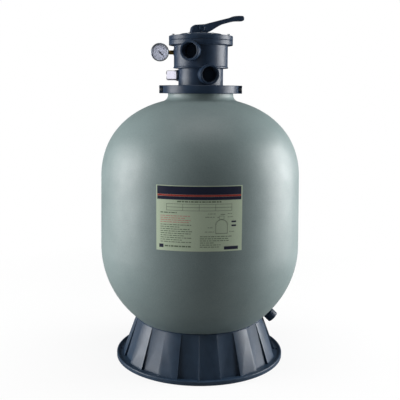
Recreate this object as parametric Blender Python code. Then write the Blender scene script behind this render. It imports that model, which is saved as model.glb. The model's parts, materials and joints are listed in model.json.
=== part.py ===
"""Top-mount sand filter for a swimming pool: a moulded tank on a fluted stand, with a
six-position valve clamped to its neck. Metres, +Z up, origin under the tank's axis on the floor.
Angles named AZIMUTH are measured from the front (-Y) towards the right (+X), in degrees."""

import math

import bmesh
import bpy
from mathutils import Euler, Matrix, Vector

MM = 0.001
FULL_TURN = 2 * math.pi

# Clearances
SEAT_GAP = 0.3 * MM
RUNNING_GAP = 0.5 * MM
CUT_EXTRA = 2.0 * MM
WELD_GAP = 0.01 * MM

# Facets around a round piece
TANK_FACETS = 40
VALVE_FACETS = 28
PIPE_FACETS = 20
SMALL_FACETS = 12
BOLT_FACETS = 6

# Tank: two domes on a slightly tapered wall, and a lipped neck
TANK_RADIUS = 306.7 * MM
WALL_TAPER = 3.7 * MM
WALL_HEIGHT = 206.0 * MM
TANK_WALL = 8.0 * MM
GROUND_CLEARANCE = 61.0 * MM
BOTTOM_DOME_DEPTH = 295.0 * MM
TOP_DOME_HEIGHT = 249.0 * MM
TOP_DOME_POWER = 2.25
NECK_RADIUS = 98.8 * MM
NECK_WALL = 14.8 * MM
NECK_FILLET = 20.0 * MM
NECK_RISE = 13.5 * MM
LIP_THICKNESS = 8.0 * MM
LIP_WIDTH = 7.2 * MM

# Stand
FLUTES = 24
SKIRT_TOP_RADIUS = 200.0 * MM
SKIRT_FLARE = 44.0 * MM
SKIRT_WALL = 5.0 * MM
FLUTE_STEP_TOP = 1.5 * MM
FLUTE_STEP_FOOT = 8.0 * MM
FOOT_WIDTH = 20.0 * MM
FOOT_THICKNESS = 7.0 * MM
FOOT_BEAD_WIDTH = 5.0 * MM
FOOT_BEAD_HEIGHT = 5.0 * MM
FOOT_BEAD_EDGE = 2.0 * MM
FOOT_HOLES = 4
FOOT_HOLE_RADIUS = 4.0 * MM

# Label
LABEL_ARC = 44.5
LABEL_AZIMUTH = -0.5
LABEL_HEIGHT = 178.0 * MM
LABEL_ABOVE_WALL = 19.5 * MM
LABEL_THICKNESS = 0.6 * MM
LABEL_FACETS = 18

# Drain, along a line that leaves the shell outwards and down
DRAIN_BEYOND_SKIRT = 9.7 * MM
DRAIN_TILT = 45.0
DRAIN_SEAT_MARGIN = 3.0 * MM
DRAIN_SEAT_PROUD = 3.0 * MM
SPIGOT_RADIUS = 11.0 * MM
SPIGOT_WALL = 3.0 * MM
SPIGOT_FLANGE_WIDTH = 8.0 * MM
SPIGOT_FLANGE_THICKNESS = 3.0 * MM
DRAIN_GASKET_THICKNESS = 2.5 * MM
CAP_GASKET_THICKNESS = 1.9 * MM
DRAIN_CAP_WALL = 7.0 * MM
DRAIN_CAP_START = 14.5 * MM
DRAIN_CAP_LENGTH = 22.0 * MM
DRAIN_CAP_END_WALL = 2.5 * MM
DRAIN_CAP_EDGE = 1.5 * MM
DRAIN_CAP_GRIPS = 16
STRAINER_LENGTH = 45.0 * MM
STRAINER_WALL = 2.0 * MM
STRAINER_SLOTS = 4
STRAINER_SLOT_WIDTH = 2.5 * MM
STRAINER_SLOT_DEPTH = 5.0 * MM

# Clamp
CLAMP_WALL = 8.5 * MM
CLAMP_LIP_THICKNESS = 2.6 * MM
CLAMP_TOP_LIP_THICKNESS = 3.7 * MM
CLAMP_TOP_LIP_MARGIN = 8.8 * MM
CLAMP_EDGE = 2.0 * MM
CLAMP_SPLIT = 2.0 * MM
LUG_LENGTH = 10.0 * MM
LUG_DEPTH = 17.0 * MM
LUG_WALL = 4.0 * MM
CLAMP_BOLT_INSET = 6.0 * MM
CLAMP_BOLT_RADIUS = 3.0 * MM
CLAMP_HEAD_RADIUS = 5.6 * MM
CLAMP_HEAD_HEIGHT = 4.5 * MM

# Valve body
VALVE_FLANGE_THICKNESS = 8.0 * MM
FLANGE_GAP = 1.0 * MM
LOWER_BODY_RADIUS = 67.5 * MM
LOWER_BODY_FLARE = 3.7 * MM
LOWER_BODY_WALL = 6.0 * MM
UPPER_BODY_STEP = 13.5 * MM
UPPER_BODY_WALL = 6.5 * MM
UPPER_LIP = 1.6 * MM
UPPER_LIP_HEIGHT = 3.0 * MM
COVER_FLANGE_WIDTH = 14.9 * MM
BODY_FLANGE_THICKNESS = 13.5 * MM
PLATE_RISE = 16.0 * MM
PLATE_THICKNESS = 6.0 * MM
FLOOR_THICKNESS = 11.5 * MM
SECTORS = 6
SECTOR_WEB = 5.0 * MM
SOCKET_WALL = 8.85 * MM
HUB_WALL = 3.0 * MM
FIRST_SECTOR_AZIMUTH = 17.0
NECK_SPIGOT_GAP = 3.5 * MM
NECK_SPIGOT_DEPTH = 12.0 * MM
NECK_SPIGOT_WALL = 6.0 * MM
SOCKET_DEPTH = 18.5 * MM
NECK_RING_SECTION = 2.3 * MM

# Ports: a pipe thread of nominal one and a half inches
PORT_BORE = 23.75 * MM
PORT_WALL = 5.75 * MM
PORT_ABOVE_CLAMP = 2.0 * MM
PORT_ABOVE_PLATE = 8.55 * MM
LOW_PORT_OVERLAP = 4.75 * MM
PUMP_PORT_OVERLAP = 4.55 * MM
LOW_PORT_INSET = 9.0 * MM
PUMP_PORT_INSET = 6.0 * MM
PUMP_PORT_AZIMUTH = -20.0
PUMP_PORT_LENGTH = 17.0 * MM
LOW_PORT_LENGTH = 23.5 * MM
RETURN_PORT_AZIMUTH = 17.0
WASTE_PORT_AZIMUTH = 197.0

# Rotor, spring and their seals
GASKET_THICKNESS = 3.0 * MM
ROTOR_THICKNESS = 16.0 * MM
ROTOR_TOP_WALL = 4.0 * MM
ROTOR_SIDE_GAP = 2.0 * MM
ROTOR_HUB_WALL = 4.0 * MM
ROTOR_HUB_HEIGHT = 18.0 * MM
SHAFT_RADIUS = 8.5 * MM
SHAFT_ABOVE_PIN = 4.5 * MM
SPRING_WIRE = 3.6 * MM
SPRING_SIDE_GAP = 5.7 * MM
SPRING_TURNS = 4.5
SPRING_STEPS = 10
WASHER_THICKNESS = 1.2 * MM
WASHER_MARGIN = 1.0 * MM
SHAFT_RING_SECTION = 1.3 * MM
SHAFT_RING_HEIGHTS = (5.0 * MM, 13.0 * MM)

# Cover
COVER_FLANGE_THICKNESS = 13.2 * MM
COVER_RISE = 6.5 * MM
COVER_CROWN_RADIUS = 60.0 * MM
COVER_WALL = 6.0 * MM
COVER_INSIDE_MARGIN = 4.5 * MM
COVER_SLEEVE_WALL = 5.0 * MM
COVER_SLEEVE_DROP = 2.3 * MM
COVER_SCREWS = 8
SCREW_EDGE = 7.4 * MM
SCREW_SHOULDER_GAP = 7.5 * MM
SCREW_RADIUS = 2.2 * MM
SCREW_HEAD_RADIUS = 5.0 * MM
SCREW_HEAD_HEIGHT = 4.0 * MM
SCREW_ABOVE_PORT = 2.5 * MM
COVER_RING_SECTION = 1.4 * MM
COVER_GROOVE_INSET = 3.0 * MM
PLATE_CROWN_GAP = 10.0 * MM
POSITION_PLATE_WIDTH = 20.0 * MM
POSITION_PLATE_THICKNESS = 0.8 * MM

# Handle: it is pressed down by HANDLE_TILT degrees to lift the rotor
HANDLE_AZIMUTH = 12.0
HANDLE_TILT = 20.0
PIN_RISE = 17.0 * MM
PIN_RADIUS = 3.0 * MM
PIN_INSET = 1.0 * MM
CHEEK_THICKNESS = 7.0 * MM
GRIP_WIDTH = 24.0 * MM
GRIP_START = 30.0 * MM
LEVER_REACH = 131.0 * MM
CAM_REACH = 12.0 * MM
SLIP_WASHER_WIDTH = 9.5 * MM
SLIP_WASHER_THICKNESS = 1.0 * MM

# Gauge
GAUGE_BOSS_RADIUS = 9.5 * MM
GAUGE_BOSS_LENGTH = 1.5 * MM
GAUGE_BELOW_PORT = 1.3 * MM
STEM_EXPOSED = 12.8 * MM
STEM_HEX = 7.0 * MM
STEM_THREAD = 6.4 * MM
STEM_NECK = 4.5 * MM
GAUGE_RADIUS = 26.2 * MM
GAUGE_DEPTH = 22.0 * MM
GAUGE_WALL = 1.5 * MM
GAUGE_EDGE = 2.0 * MM
BEZEL_WALL = 1.0 * MM
BEZEL_DEPTH = 4.0 * MM
BEZEL_FRONT = 1.2 * MM
BEZEL_EDGE = 0.8 * MM
BEZEL_LIP = 1.5 * MM
LENS_THICKNESS = 1.5 * MM
DIAL_THICKNESS = 0.6 * MM
DIAL_SIDE_GAP = 0.9 * MM
DIAL_SETBACK = 4.2 * MM
POINTER_DIAL_EDGE = 6.8 * MM
POINTER_ABOVE_DIAL = 1.2 * MM
POINTER_THICKNESS = 0.8 * MM
POINTER_TAIL = 6.0 * MM
POINTER_HALF_WIDTHS = (1.0 * MM, 1.4 * MM, 0.25 * MM)
POINTER_HUB_RADIUS = 2.2 * MM
POINTER_REST = 47.0
ARBOR_RADIUS = 1.0 * MM
ARBOR_LENGTH = 5.0 * MM
BOURDON_TUBE_RADIUS = 1.6 * MM
BOURDON_ARC = (24.0, 274.0)
BOURDON_BEHIND_DIAL = 2.5 * MM
BOURDON_STEPS = 16

# Sight glass
SIGHT_BELOW_PORT = 2.0 * MM
SIGHT_RADIUS = 16.0 * MM
SIGHT_WALL = 2.5 * MM
SIGHT_LENGTH = 30.0 * MM
SIGHT_BOSS_MARGIN = 1.0 * MM
SIGHT_BOSS_LENGTH = 4.5 * MM
SIGHT_BORE = 9.0 * MM
SIGHT_GASKET = 1.5 * MM
SIGHT_EDGE = 1.0 * MM

# Pipework in the tank
STANDPIPE_RADIUS = 24.15 * MM
STANDPIPE_WALL = 3.0 * MM
STANDPIPE_IN_SOCKET = 28.5 * MM
STANDPIPE_RING_SECTION = 1.8 * MM
LATERALS = 8
LATERAL_RISE = 89.0 * MM
LATERAL_PIVOT_MARGIN = 15.85 * MM
LATERAL_RADIUS = 9.0 * MM
LATERAL_WALL = 2.0 * MM
LATERAL_END_GAP = 24.0 * MM
LATERAL_FACETS = 8
LATERAL_SLOTS = 3
LATERAL_SLOT_WIDTH = 1.2 * MM
LATERAL_SLOT_DEPTH = 4.0 * MM
TONGUE_LENGTH = 13.6 * MM
TONGUE_WIDTH = 9.0 * MM
TONGUE_RADIUS = 6.0 * MM
TONGUE_ARC_STEPS = 6
HUB_RIM = 6.0 * MM
HUB_ABOVE_PIVOT = 11.0 * MM
HUB_BELOW_PIVOT = 17.0 * MM
DIFFUSER_POSTS = 6
DIFFUSER_DROP = 28.0 * MM
DIFFUSER_RING_WIDTH = 6.0 * MM
DIFFUSER_RING_HEIGHT = 5.0 * MM
DIFFUSER_DISH_THICKNESS = 3.0 * MM
DIFFUSER_POST = (4.0 * MM, 6.0 * MM)

# Levels, from the floor up
TANK_FLOOR_Z = GROUND_CLEARANCE
BOTTOM_DOME_Z = TANK_FLOOR_Z + BOTTOM_DOME_DEPTH
TOP_DOME_Z = BOTTOM_DOME_Z + WALL_HEIGHT
LATERAL_Z = TANK_FLOOR_Z + LATERAL_RISE
HUB_TOP_Z = LATERAL_Z + HUB_ABOVE_PIVOT
HUB_BOTTOM_Z = LATERAL_Z - HUB_BELOW_PIVOT
LABEL_TOP_Z = TOP_DOME_Z + LABEL_ABOVE_WALL
LABEL_BOTTOM_Z = LABEL_TOP_Z - LABEL_HEIGHT
NECK_LIP_Z = TOP_DOME_Z + TOP_DOME_HEIGHT + NECK_RISE
NECK_TOP_Z = NECK_LIP_Z + LIP_THICKNESS
VALVE_FLANGE_Z = NECK_TOP_Z + FLANGE_GAP
VALVE_FLANGE_TOP_Z = VALVE_FLANGE_Z + VALVE_FLANGE_THICKNESS
CLAMP_BOTTOM_Z = NECK_LIP_Z - SEAT_GAP - CLAMP_LIP_THICKNESS
CLAMP_TOP_Z = VALVE_FLANGE_TOP_Z + SEAT_GAP + CLAMP_TOP_LIP_THICKNESS
NECK_SPIGOT_BOTTOM_Z = VALVE_FLANGE_Z - NECK_SPIGOT_DEPTH
SOCKET_BOTTOM_Z = VALVE_FLANGE_Z - SOCKET_DEPTH
STANDPIPE_TOP_Z = VALVE_FLANGE_Z + STANDPIPE_IN_SOCKET
FLOOR_TOP_Z = VALVE_FLANGE_Z + FLOOR_THICKNESS
PORT_RADIUS = PORT_BORE + PORT_WALL
LOW_PORT_Z = CLAMP_TOP_Z + PORT_ABOVE_CLAMP + PORT_RADIUS
SIGHT_Z = LOW_PORT_Z - SIGHT_BELOW_PORT
UPPER_BODY_Z = LOW_PORT_Z + PORT_BORE - LOW_PORT_OVERLAP
PLATE_TOP_Z = UPPER_BODY_Z + PLATE_RISE
PUMP_PORT_Z = PLATE_TOP_Z + PORT_ABOVE_PLATE + PORT_BORE
GAUGE_Z = PUMP_PORT_Z - GAUGE_BELOW_PORT
BODY_FLANGE_Z = PUMP_PORT_Z + PORT_BORE - PUMP_PORT_OVERLAP
BODY_TOP_Z = BODY_FLANGE_Z + BODY_FLANGE_THICKNESS
GASKET_Z = PLATE_TOP_Z + SEAT_GAP
ROTOR_Z = GASKET_Z + GASKET_THICKNESS + SEAT_GAP
ROTOR_TOP_Z = ROTOR_Z + ROTOR_THICKNESS
COVER_Z = BODY_TOP_Z + SEAT_GAP
COVER_FLANGE_TOP_Z = COVER_Z + COVER_FLANGE_THICKNESS
COVER_TOP_Z = COVER_FLANGE_TOP_Z + COVER_RISE
COVER_SLEEVE_Z = COVER_Z - COVER_SLEEVE_DROP
SHAFT_RING_Z = [COVER_SLEEVE_Z + height for height in SHAFT_RING_HEIGHTS]
SCREW_BOTTOM_Z = PUMP_PORT_Z + PORT_BORE + SCREW_ABOVE_PORT
SPRING_WASHER_Z = COVER_TOP_Z - COVER_WALL - SEAT_GAP - WASHER_THICKNESS
SLIP_WASHER_Z = COVER_TOP_Z + SEAT_GAP
CAM_Z = SLIP_WASHER_Z + SLIP_WASHER_THICKNESS + SEAT_GAP
PIN_Z = COVER_TOP_Z + PIN_RISE
CAM_DROP = PIN_Z - CAM_Z
SHAFT_TOP_Z = PIN_Z + SHAFT_ABOVE_PIN

# Radii and reaches, from the axis out
SHOULDER_RADIUS = TANK_RADIUS - WALL_TAPER
SKIRT_FOOT_RADIUS = SKIRT_TOP_RADIUS + SKIRT_FLARE
FOOT_RADIUS = SKIRT_FOOT_RADIUS + FOOT_WIDTH
DRAIN_SHELL_RADIUS = SKIRT_TOP_RADIUS + DRAIN_BEYOND_SKIRT
SPIGOT_BORE = SPIGOT_RADIUS - SPIGOT_WALL
SPIGOT_FLANGE_RADIUS = SPIGOT_RADIUS + SPIGOT_FLANGE_WIDTH
DRAIN_SEAT_RADIUS = SPIGOT_FLANGE_RADIUS + DRAIN_SEAT_MARGIN
DRAIN_CAP_BORE = SPIGOT_RADIUS + RUNNING_GAP
DRAIN_CAP_RADIUS = DRAIN_CAP_BORE + DRAIN_CAP_WALL
DRAIN_CAP_END = DRAIN_CAP_START + DRAIN_CAP_LENGTH
DRAIN_CAP_FLOOR = DRAIN_CAP_END - DRAIN_CAP_END_WALL
SPIGOT_LENGTH = DRAIN_CAP_FLOOR - CAP_GASKET_THICKNESS - 2 * SEAT_GAP
NECK_BORE = NECK_RADIUS - NECK_WALL
LIP_RADIUS = NECK_RADIUS + LIP_WIDTH
CLAMP_RADIUS = LIP_RADIUS + RUNNING_GAP + CLAMP_WALL
LUG_REACH = CLAMP_RADIUS + LUG_LENGTH
CLAMP_BOLT_X = LUG_REACH - CLAMP_BOLT_INSET
CLAMP_TOP_LIP_RADIUS = LOWER_BODY_RADIUS + LOWER_BODY_FLARE + CLAMP_TOP_LIP_MARGIN
NECK_SPIGOT_RADIUS = NECK_BORE - NECK_SPIGOT_GAP
UPPER_BODY_RADIUS = LOWER_BODY_RADIUS + UPPER_BODY_STEP
CHAMBER_RADIUS = UPPER_BODY_RADIUS - UPPER_BODY_WALL
ROTOR_RADIUS = CHAMBER_RADIUS - ROTOR_SIDE_GAP
COVER_FLANGE_RADIUS = UPPER_BODY_RADIUS + COVER_FLANGE_WIDTH
SCREW_CIRCLE = COVER_FLANGE_RADIUS - SCREW_EDGE
COVER_SHOULDER_RADIUS = SCREW_CIRCLE - SCREW_HEAD_RADIUS - SCREW_SHOULDER_GAP
COVER_SLEEVE_BORE = SHAFT_RADIUS + RUNNING_GAP
COVER_SLEEVE_RADIUS = COVER_SLEEVE_BORE + COVER_SLEEVE_WALL
SPRING_MEAN_RADIUS = COVER_SLEEVE_RADIUS + SPRING_SIDE_GAP + SPRING_WIRE / 2
ROTOR_HUB_RADIUS = SHAFT_RADIUS + ROTOR_HUB_WALL
SLIP_WASHER_RADIUS = COVER_SLEEVE_BORE + SLIP_WASHER_WIDTH
PLATE_OUTER_RADIUS = COVER_CROWN_RADIUS - PLATE_CROWN_GAP
PLATE_INNER_RADIUS = PLATE_OUTER_RADIUS - POSITION_PLATE_WIDTH
HANDLE_WIDTH = 2 * (SHAFT_RADIUS + RUNNING_GAP + CHEEK_THICKNESS)
SOCKET_BORE = STANDPIPE_RADIUS + RUNNING_GAP
SOCKET_RADIUS = SOCKET_BORE + SOCKET_WALL
SECTOR_INNER = SOCKET_RADIUS + HUB_WALL
SECTOR_OUTER = LOWER_BODY_RADIUS - LOWER_BODY_WALL
PUMP_PORT_REACH = UPPER_BODY_RADIUS + PUMP_PORT_LENGTH
LOW_PORT_REACH = LOWER_BODY_RADIUS + LOW_PORT_LENGTH
GAUGE_BOSS_REACH = UPPER_BODY_RADIUS + GAUGE_BOSS_LENGTH
BEZEL_RADIUS = GAUGE_RADIUS + BEZEL_WALL
DIAL_RADIUS = GAUGE_RADIUS - GAUGE_WALL - DIAL_SIDE_GAP
POINTER_LENGTH = DIAL_RADIUS - POINTER_DIAL_EDGE
GAUGE_X = -(GAUGE_BOSS_REACH + STEM_EXPOSED + BEZEL_RADIUS)
SIGHT_BOSS_RADIUS = SIGHT_RADIUS + SIGHT_BOSS_MARGIN
SIGHT_BOSS_REACH = LOWER_BODY_RADIUS + SIGHT_BOSS_LENGTH
LATERAL_PIVOT_RADIUS = STANDPIPE_RADIUS + LATERAL_PIVOT_MARGIN
HUB_RADIUS = LATERAL_PIVOT_RADIUS + HUB_RIM

ALONG_X = Matrix.Rotation(math.radians(90), 4, "Y")
ALONG_Y = Matrix.Rotation(math.radians(-90), 4, "X")


# ---------------------------------------------------------------- tools

def material(name, colour, roughness, metallic=0.0, alpha=1.0):
    """A Principled material, made once for each name."""
    found = bpy.data.materials.get(name)
    if found:
        return found
    made = bpy.data.materials.new(name)
    made.use_nodes = True
    shader = made.node_tree.nodes["Principled BSDF"]
    shader.inputs["Base Color"].default_value = (*colour, 1.0)
    shader.inputs["Roughness"].default_value = roughness
    shader.inputs["Metallic"].default_value = metallic
    shader.inputs["Alpha"].default_value = alpha
    return made


def tank_plastic():
    return material("tank_polymer", (0.25, 0.29, 0.29), 0.55)


def valve_plastic():
    return material("valve_abs", (0.025, 0.035, 0.055), 0.25)


def stand_plastic():
    return material("stand_polypropylene", (0.03, 0.045, 0.07), 0.38)


def inner_plastic():
    return material("inner_pvc", (0.7, 0.7, 0.68), 0.45)


def seal_rubber():
    return material("seal_rubber", (0.02, 0.02, 0.02), 0.7)


def stainless():
    return material("stainless_steel", (0.6, 0.6, 0.58), 0.3, 1.0)


def gauge_steel():
    return material("gauge_steel", (0.55, 0.57, 0.6), 0.3, 1.0)


def brass():
    return material("brass", (0.55, 0.4, 0.15), 0.35, 1.0)


def clear_plastic():
    return material("clear_acrylic", (0.9, 0.92, 0.95), 0.08, 0.0, 0.35)


def paper_print():
    return material("printed_label", (0.6, 0.68, 0.52), 0.5)


def dial_print():
    return material("dial_enamel", (0.85, 0.88, 0.9), 0.4)


def pointer_paint():
    return material("pointer_paint", (0.02, 0.02, 0.02), 0.5)


def add_object(name, bm, finish, location=(0, 0, 0), turn=(0, 0, 0)):
    """A named object from a bmesh, smooth but for its sharp edges."""
    mesh = bpy.data.meshes.new(name)
    bm.to_mesh(mesh)
    bm.free()
    mesh.shade_smooth()
    mesh.set_sharp_from_angle(angle=math.radians(35))
    mesh.materials.append(finish)
    return place(name, mesh, location, turn)


def place(name, mesh, location=(0, 0, 0), turn=(0, 0, 0)):
    """An object that uses a mesh, at its place."""
    thing = bpy.data.objects.new(name, mesh)
    thing.location = location
    thing.rotation_euler = turn
    bpy.context.scene.collection.objects.link(thing)
    return thing


def combine(thing, operation, tools):
    """Adds one Boolean modifier for each bmesh in tools; the tool objects are only guides."""
    for number, tool in enumerate(tools):
        guide = add_object(f"{thing.name}_{operation.lower()}_{number}", tool, stand_plastic())
        guide.location = thing.location
        guide.rotation_euler = thing.rotation_euler
        guide.hide_render = True
        guide.display_type = "WIRE"
        guide.hide_set(True)
        boolean = thing.modifiers.new(guide.name, "BOOLEAN")
        boolean.operation = operation
        boolean.solver = "EXACT"
        boolean.object = guide


def weld(thing):
    """Joins the corners that a chain of booleans leaves a hair apart."""
    joint = thing.modifiers.new("weld", "WELD")
    joint.merge_threshold = WELD_GAP


def turned(profile, facets, arc=FULL_TURN, start=0.0):
    """Solid turned about Z from an outline of (radius, height) points, closed but for any axis edge."""
    bm = bmesh.new()
    corners = [bm.verts.new((radius, 0, height)) for radius, height in profile]
    if arc < FULL_TURN:
        face = bm.faces.new(corners)
        bmesh.ops.spin(bm, geom=[face, *face.edges, *corners], axis=(0, 0, 1), cent=(0, 0, 0),
                       angle=arc, steps=facets)
    else:
        pairs = zip(corners, corners[1:] + corners[:1])
        edges = [bm.edges.new(pair) for pair in pairs if pair[0].co.x > 0 or pair[1].co.x > 0]
        bmesh.ops.spin(bm, geom=[*edges, *corners], axis=(0, 0, 1), cent=(0, 0, 0),
                       angle=arc, steps=facets, use_merge=True)
        bmesh.ops.remove_doubles(bm, verts=bm.verts, dist=1e-6)
    bmesh.ops.rotate(bm, verts=bm.verts, cent=(0, 0, 0), matrix=Matrix.Rotation(start, 3, "Z"))
    bmesh.ops.recalc_face_normals(bm, faces=bm.faces)
    return bm


def ring(inner, outer, bottom, top, facets):
    """Flat ring about Z."""
    return turned([(inner, bottom), (outer, bottom), (outer, top), (inner, top)], facets)


def rod(radius, bottom, top, facets):
    """Cylinder about Z between two heights."""
    return turned([(0, bottom), (radius, bottom), (radius, top), (0, top)], facets)


def torus(major, minor, height, facets, sides=6):
    """O-ring about Z."""
    angles = [FULL_TURN * (side + 0.5) / sides for side in range(sides)]
    profile = [(major + minor * math.cos(a), height + minor * math.sin(a)) for a in angles]
    return turned(profile, facets)


def around(radius, facets):
    """Radius of the corners of a faceted bore whose flats clear a round piece."""
    return radius / math.cos(math.pi / facets)


def extruded(outline, depth):
    """Solid with a flat outline of (x, y) points, standing on z = 0."""
    bm = bmesh.new()
    face = bm.faces.new([bm.verts.new((x, y, 0)) for x, y in outline])
    grown = bmesh.ops.extrude_face_region(bm, geom=[face])
    top = [item for item in grown["geom"] if isinstance(item, bmesh.types.BMVert)]
    bmesh.ops.translate(bm, verts=top, vec=(0, 0, depth))
    bmesh.ops.recalc_face_normals(bm, faces=bm.faces)
    return bm


def block(low, high):
    """Box between two corners."""
    bm = bmesh.new()
    bmesh.ops.create_cube(bm, size=1.0)
    for vertex in bm.verts:
        vertex.co = [high[i] if vertex.co[i] > 0 else low[i] for i in range(3)]
    return bm


def moved(bm, matrix):
    """The same bmesh, turned and shifted."""
    bmesh.ops.transform(bm, matrix=matrix, verts=bm.verts)
    return bm


def shifted(bm, x=0.0, y=0.0, z=0.0):
    return moved(bm, Matrix.Translation((x, y, z)))


def facing(azimuth):
    """Turn that points +X along an azimuth."""
    return Matrix.Rotation(math.radians(azimuth - 90), 4, "Z")


def radial_rod(radius, start, end, height, azimuth, facets):
    """Cylinder that runs outwards from the axis at a height, between two distances from it."""
    bm = moved(rod(radius, start, end, facets), ALONG_X)
    return moved(bm, facing(azimuth) @ Matrix.Translation((0, 0, height)))


def sector(inner, outer, azimuth, width, bottom, top, web=SECTOR_WEB, steps=3):
    """Pie-shaped prism with sides parallel to the webs beside it."""
    def arc(radius, reverse):
        half = math.radians(width / 2) - math.asin(web / 2 / radius)
        points = [(radius * math.cos(a), radius * math.sin(a))
                  for a in (half * (2 * i / steps - 1) for i in range(steps + 1))]
        return points[::-1] if reverse else points
    bm = extruded(arc(outer, False) + arc(inner, True), top - bottom)
    return moved(bm, facing(azimuth) @ Matrix.Translation((0, 0, bottom)))


def sector_azimuth(number):
    return FIRST_SECTOR_AZIMUTH + 360.0 / SECTORS * number


# ---------------------------------------------------------------- tank and stand

def wall_radius(height):
    """Outside radius of the straight, slightly tapered wall."""
    share = (height - BOTTOM_DOME_Z) / (TOP_DOME_Z - BOTTOM_DOME_Z)
    return TANK_RADIUS + (SHOULDER_RADIUS - TANK_RADIUS) * share


def bottom_dome_z(radius, inset=0.0):
    """Height of the bottom dome at a radius."""
    share = radius / (TANK_RADIUS - inset)
    return BOTTOM_DOME_Z - (BOTTOM_DOME_DEPTH - inset) * math.sqrt(1 - share ** 2)


def bottom_dome_radius(height, inset=0.0):
    """Radius of the bottom dome at a height."""
    share = (BOTTOM_DOME_Z - height) / (BOTTOM_DOME_DEPTH - inset)
    return (TANK_RADIUS - inset) * math.sqrt(1 - share ** 2)


def bottom_dome(inset, steps):
    """Points of the bottom dome from its pole up to the wall."""
    angles = [math.pi / 2 * i / steps for i in range(steps + 1)]
    radius, depth = TANK_RADIUS - inset, BOTTOM_DOME_DEPTH - inset
    return [(radius * math.sin(a), BOTTOM_DOME_Z - depth * math.cos(a)) for a in angles]


def top_dome_z(radius, inset=0.0):
    """Height of the top dome at a radius."""
    share = radius / (SHOULDER_RADIUS - inset)
    rise = (1 - share ** TOP_DOME_POWER) ** (1 / TOP_DOME_POWER)
    return TOP_DOME_Z + (TOP_DOME_HEIGHT - inset) * rise


def top_dome_radius(height):
    """Radius of the top dome at a height."""
    share = (height - TOP_DOME_Z) / TOP_DOME_HEIGHT
    return SHOULDER_RADIUS * (1 - share ** TOP_DOME_POWER) ** (1 / TOP_DOME_POWER)


def shell_radius(height):
    """Outside radius of the tank at a height."""
    if height < BOTTOM_DOME_Z:
        return bottom_dome_radius(height)
    if height > TOP_DOME_Z:
        return top_dome_radius(height)
    return wall_radius(height)


def top_dome(inset, end_radius, steps):
    """Points of the top dome from the wall up to a radius near the neck."""
    full = SHOULDER_RADIUS - inset
    last = math.acos(end_radius / full)
    radii = [full * math.cos(last * i / steps) for i in range(steps + 1)]
    return [(radius, top_dome_z(radius, inset)) for radius in radii]


def tank_shell():
    fillet_foot = NECK_RADIUS + NECK_FILLET
    outer = bottom_dome(0.0, 7) + top_dome(0.0, fillet_foot, 6)
    fillet_z = top_dome_z(fillet_foot) + NECK_FILLET
    fillet_steps = 3
    angles = [math.pi / 2 * (i + 1) / fillet_steps for i in range(fillet_steps)]
    neck = [(fillet_foot - NECK_FILLET * math.sin(a), fillet_z - NECK_FILLET * math.cos(a)) for a in angles]
    neck += [(NECK_RADIUS, NECK_LIP_Z), (LIP_RADIUS, NECK_LIP_Z), (LIP_RADIUS, NECK_TOP_Z),
             (NECK_BORE, NECK_TOP_Z)]
    inner = top_dome(TANK_WALL, NECK_BORE, 4)[::-1] + bottom_dome(TANK_WALL, 7)[::-1]
    shell = add_object("tank_shell", turned(outer + neck + inner, TANK_FACETS), tank_plastic())
    depth = drain_seat_depth()
    seat = drain_piece(rod(DRAIN_SEAT_RADIUS, -depth, -TANK_WALL / 2, SMALL_FACETS))
    combine(shell, "UNION", [seat])
    bore = SPIGOT_RADIUS + RUNNING_GAP
    hole = drain_piece(rod(bore, -2 * depth, depth, SMALL_FACETS))
    combine(shell, "DIFFERENCE", [hole])


def label():
    """Thin curved sheet that follows the wall and the start of the top dome."""
    heights = [LABEL_BOTTOM_Z, min(max(TOP_DOME_Z, LABEL_BOTTOM_Z + MM), LABEL_TOP_Z - MM), LABEL_TOP_Z]
    inside = [(shell_radius(height) + SEAT_GAP, height) for height in heights]
    outside = [(radius + LABEL_THICKNESS, height) for radius, height in inside]
    start = math.radians(LABEL_AZIMUTH - 90 - LABEL_ARC / 2)
    sheet = turned(outside + inside[::-1], LABEL_FACETS, math.radians(LABEL_ARC), start)
    add_object("tank_label", sheet, paper_print())


def flute_radius(radius, step, flute):
    """Raised flutes keep the radius, and every second flute is set back."""
    return radius if flute % 2 == 0 else radius - step


def fluted_ring(bm, radius, step, height):
    """Two corners for each flute, so that a step stands between neighbours."""
    corners = []
    for flute in range(FLUTES):
        reach = flute_radius(radius, step, flute)
        for edge in (flute, flute + 1):
            angle = FULL_TURN * edge / FLUTES - math.pi / 2
            corners.append(bm.verts.new((reach * math.cos(angle), reach * math.sin(angle), height)))
    return corners


def round_ring(bm, radius, height):
    """As many corners as a fluted ring, evenly spaced."""
    corners = []
    for flute in range(FLUTES):
        for share in (0.25, 0.75):
            angle = FULL_TURN * (flute + share) / FLUTES - math.pi / 2
            corners.append(bm.verts.new((radius * math.cos(angle), radius * math.sin(angle), height)))
    return corners


def join_rings(bm, rings):
    """Faces between each ring and the next, and from the last back to the first."""
    for low, high in zip(rings, rings[1:] + rings[:1]):
        for i in range(len(low)):
            j = (i + 1) % len(low)
            bm.faces.new((low[i], low[j], high[j], high[i]))


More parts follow.
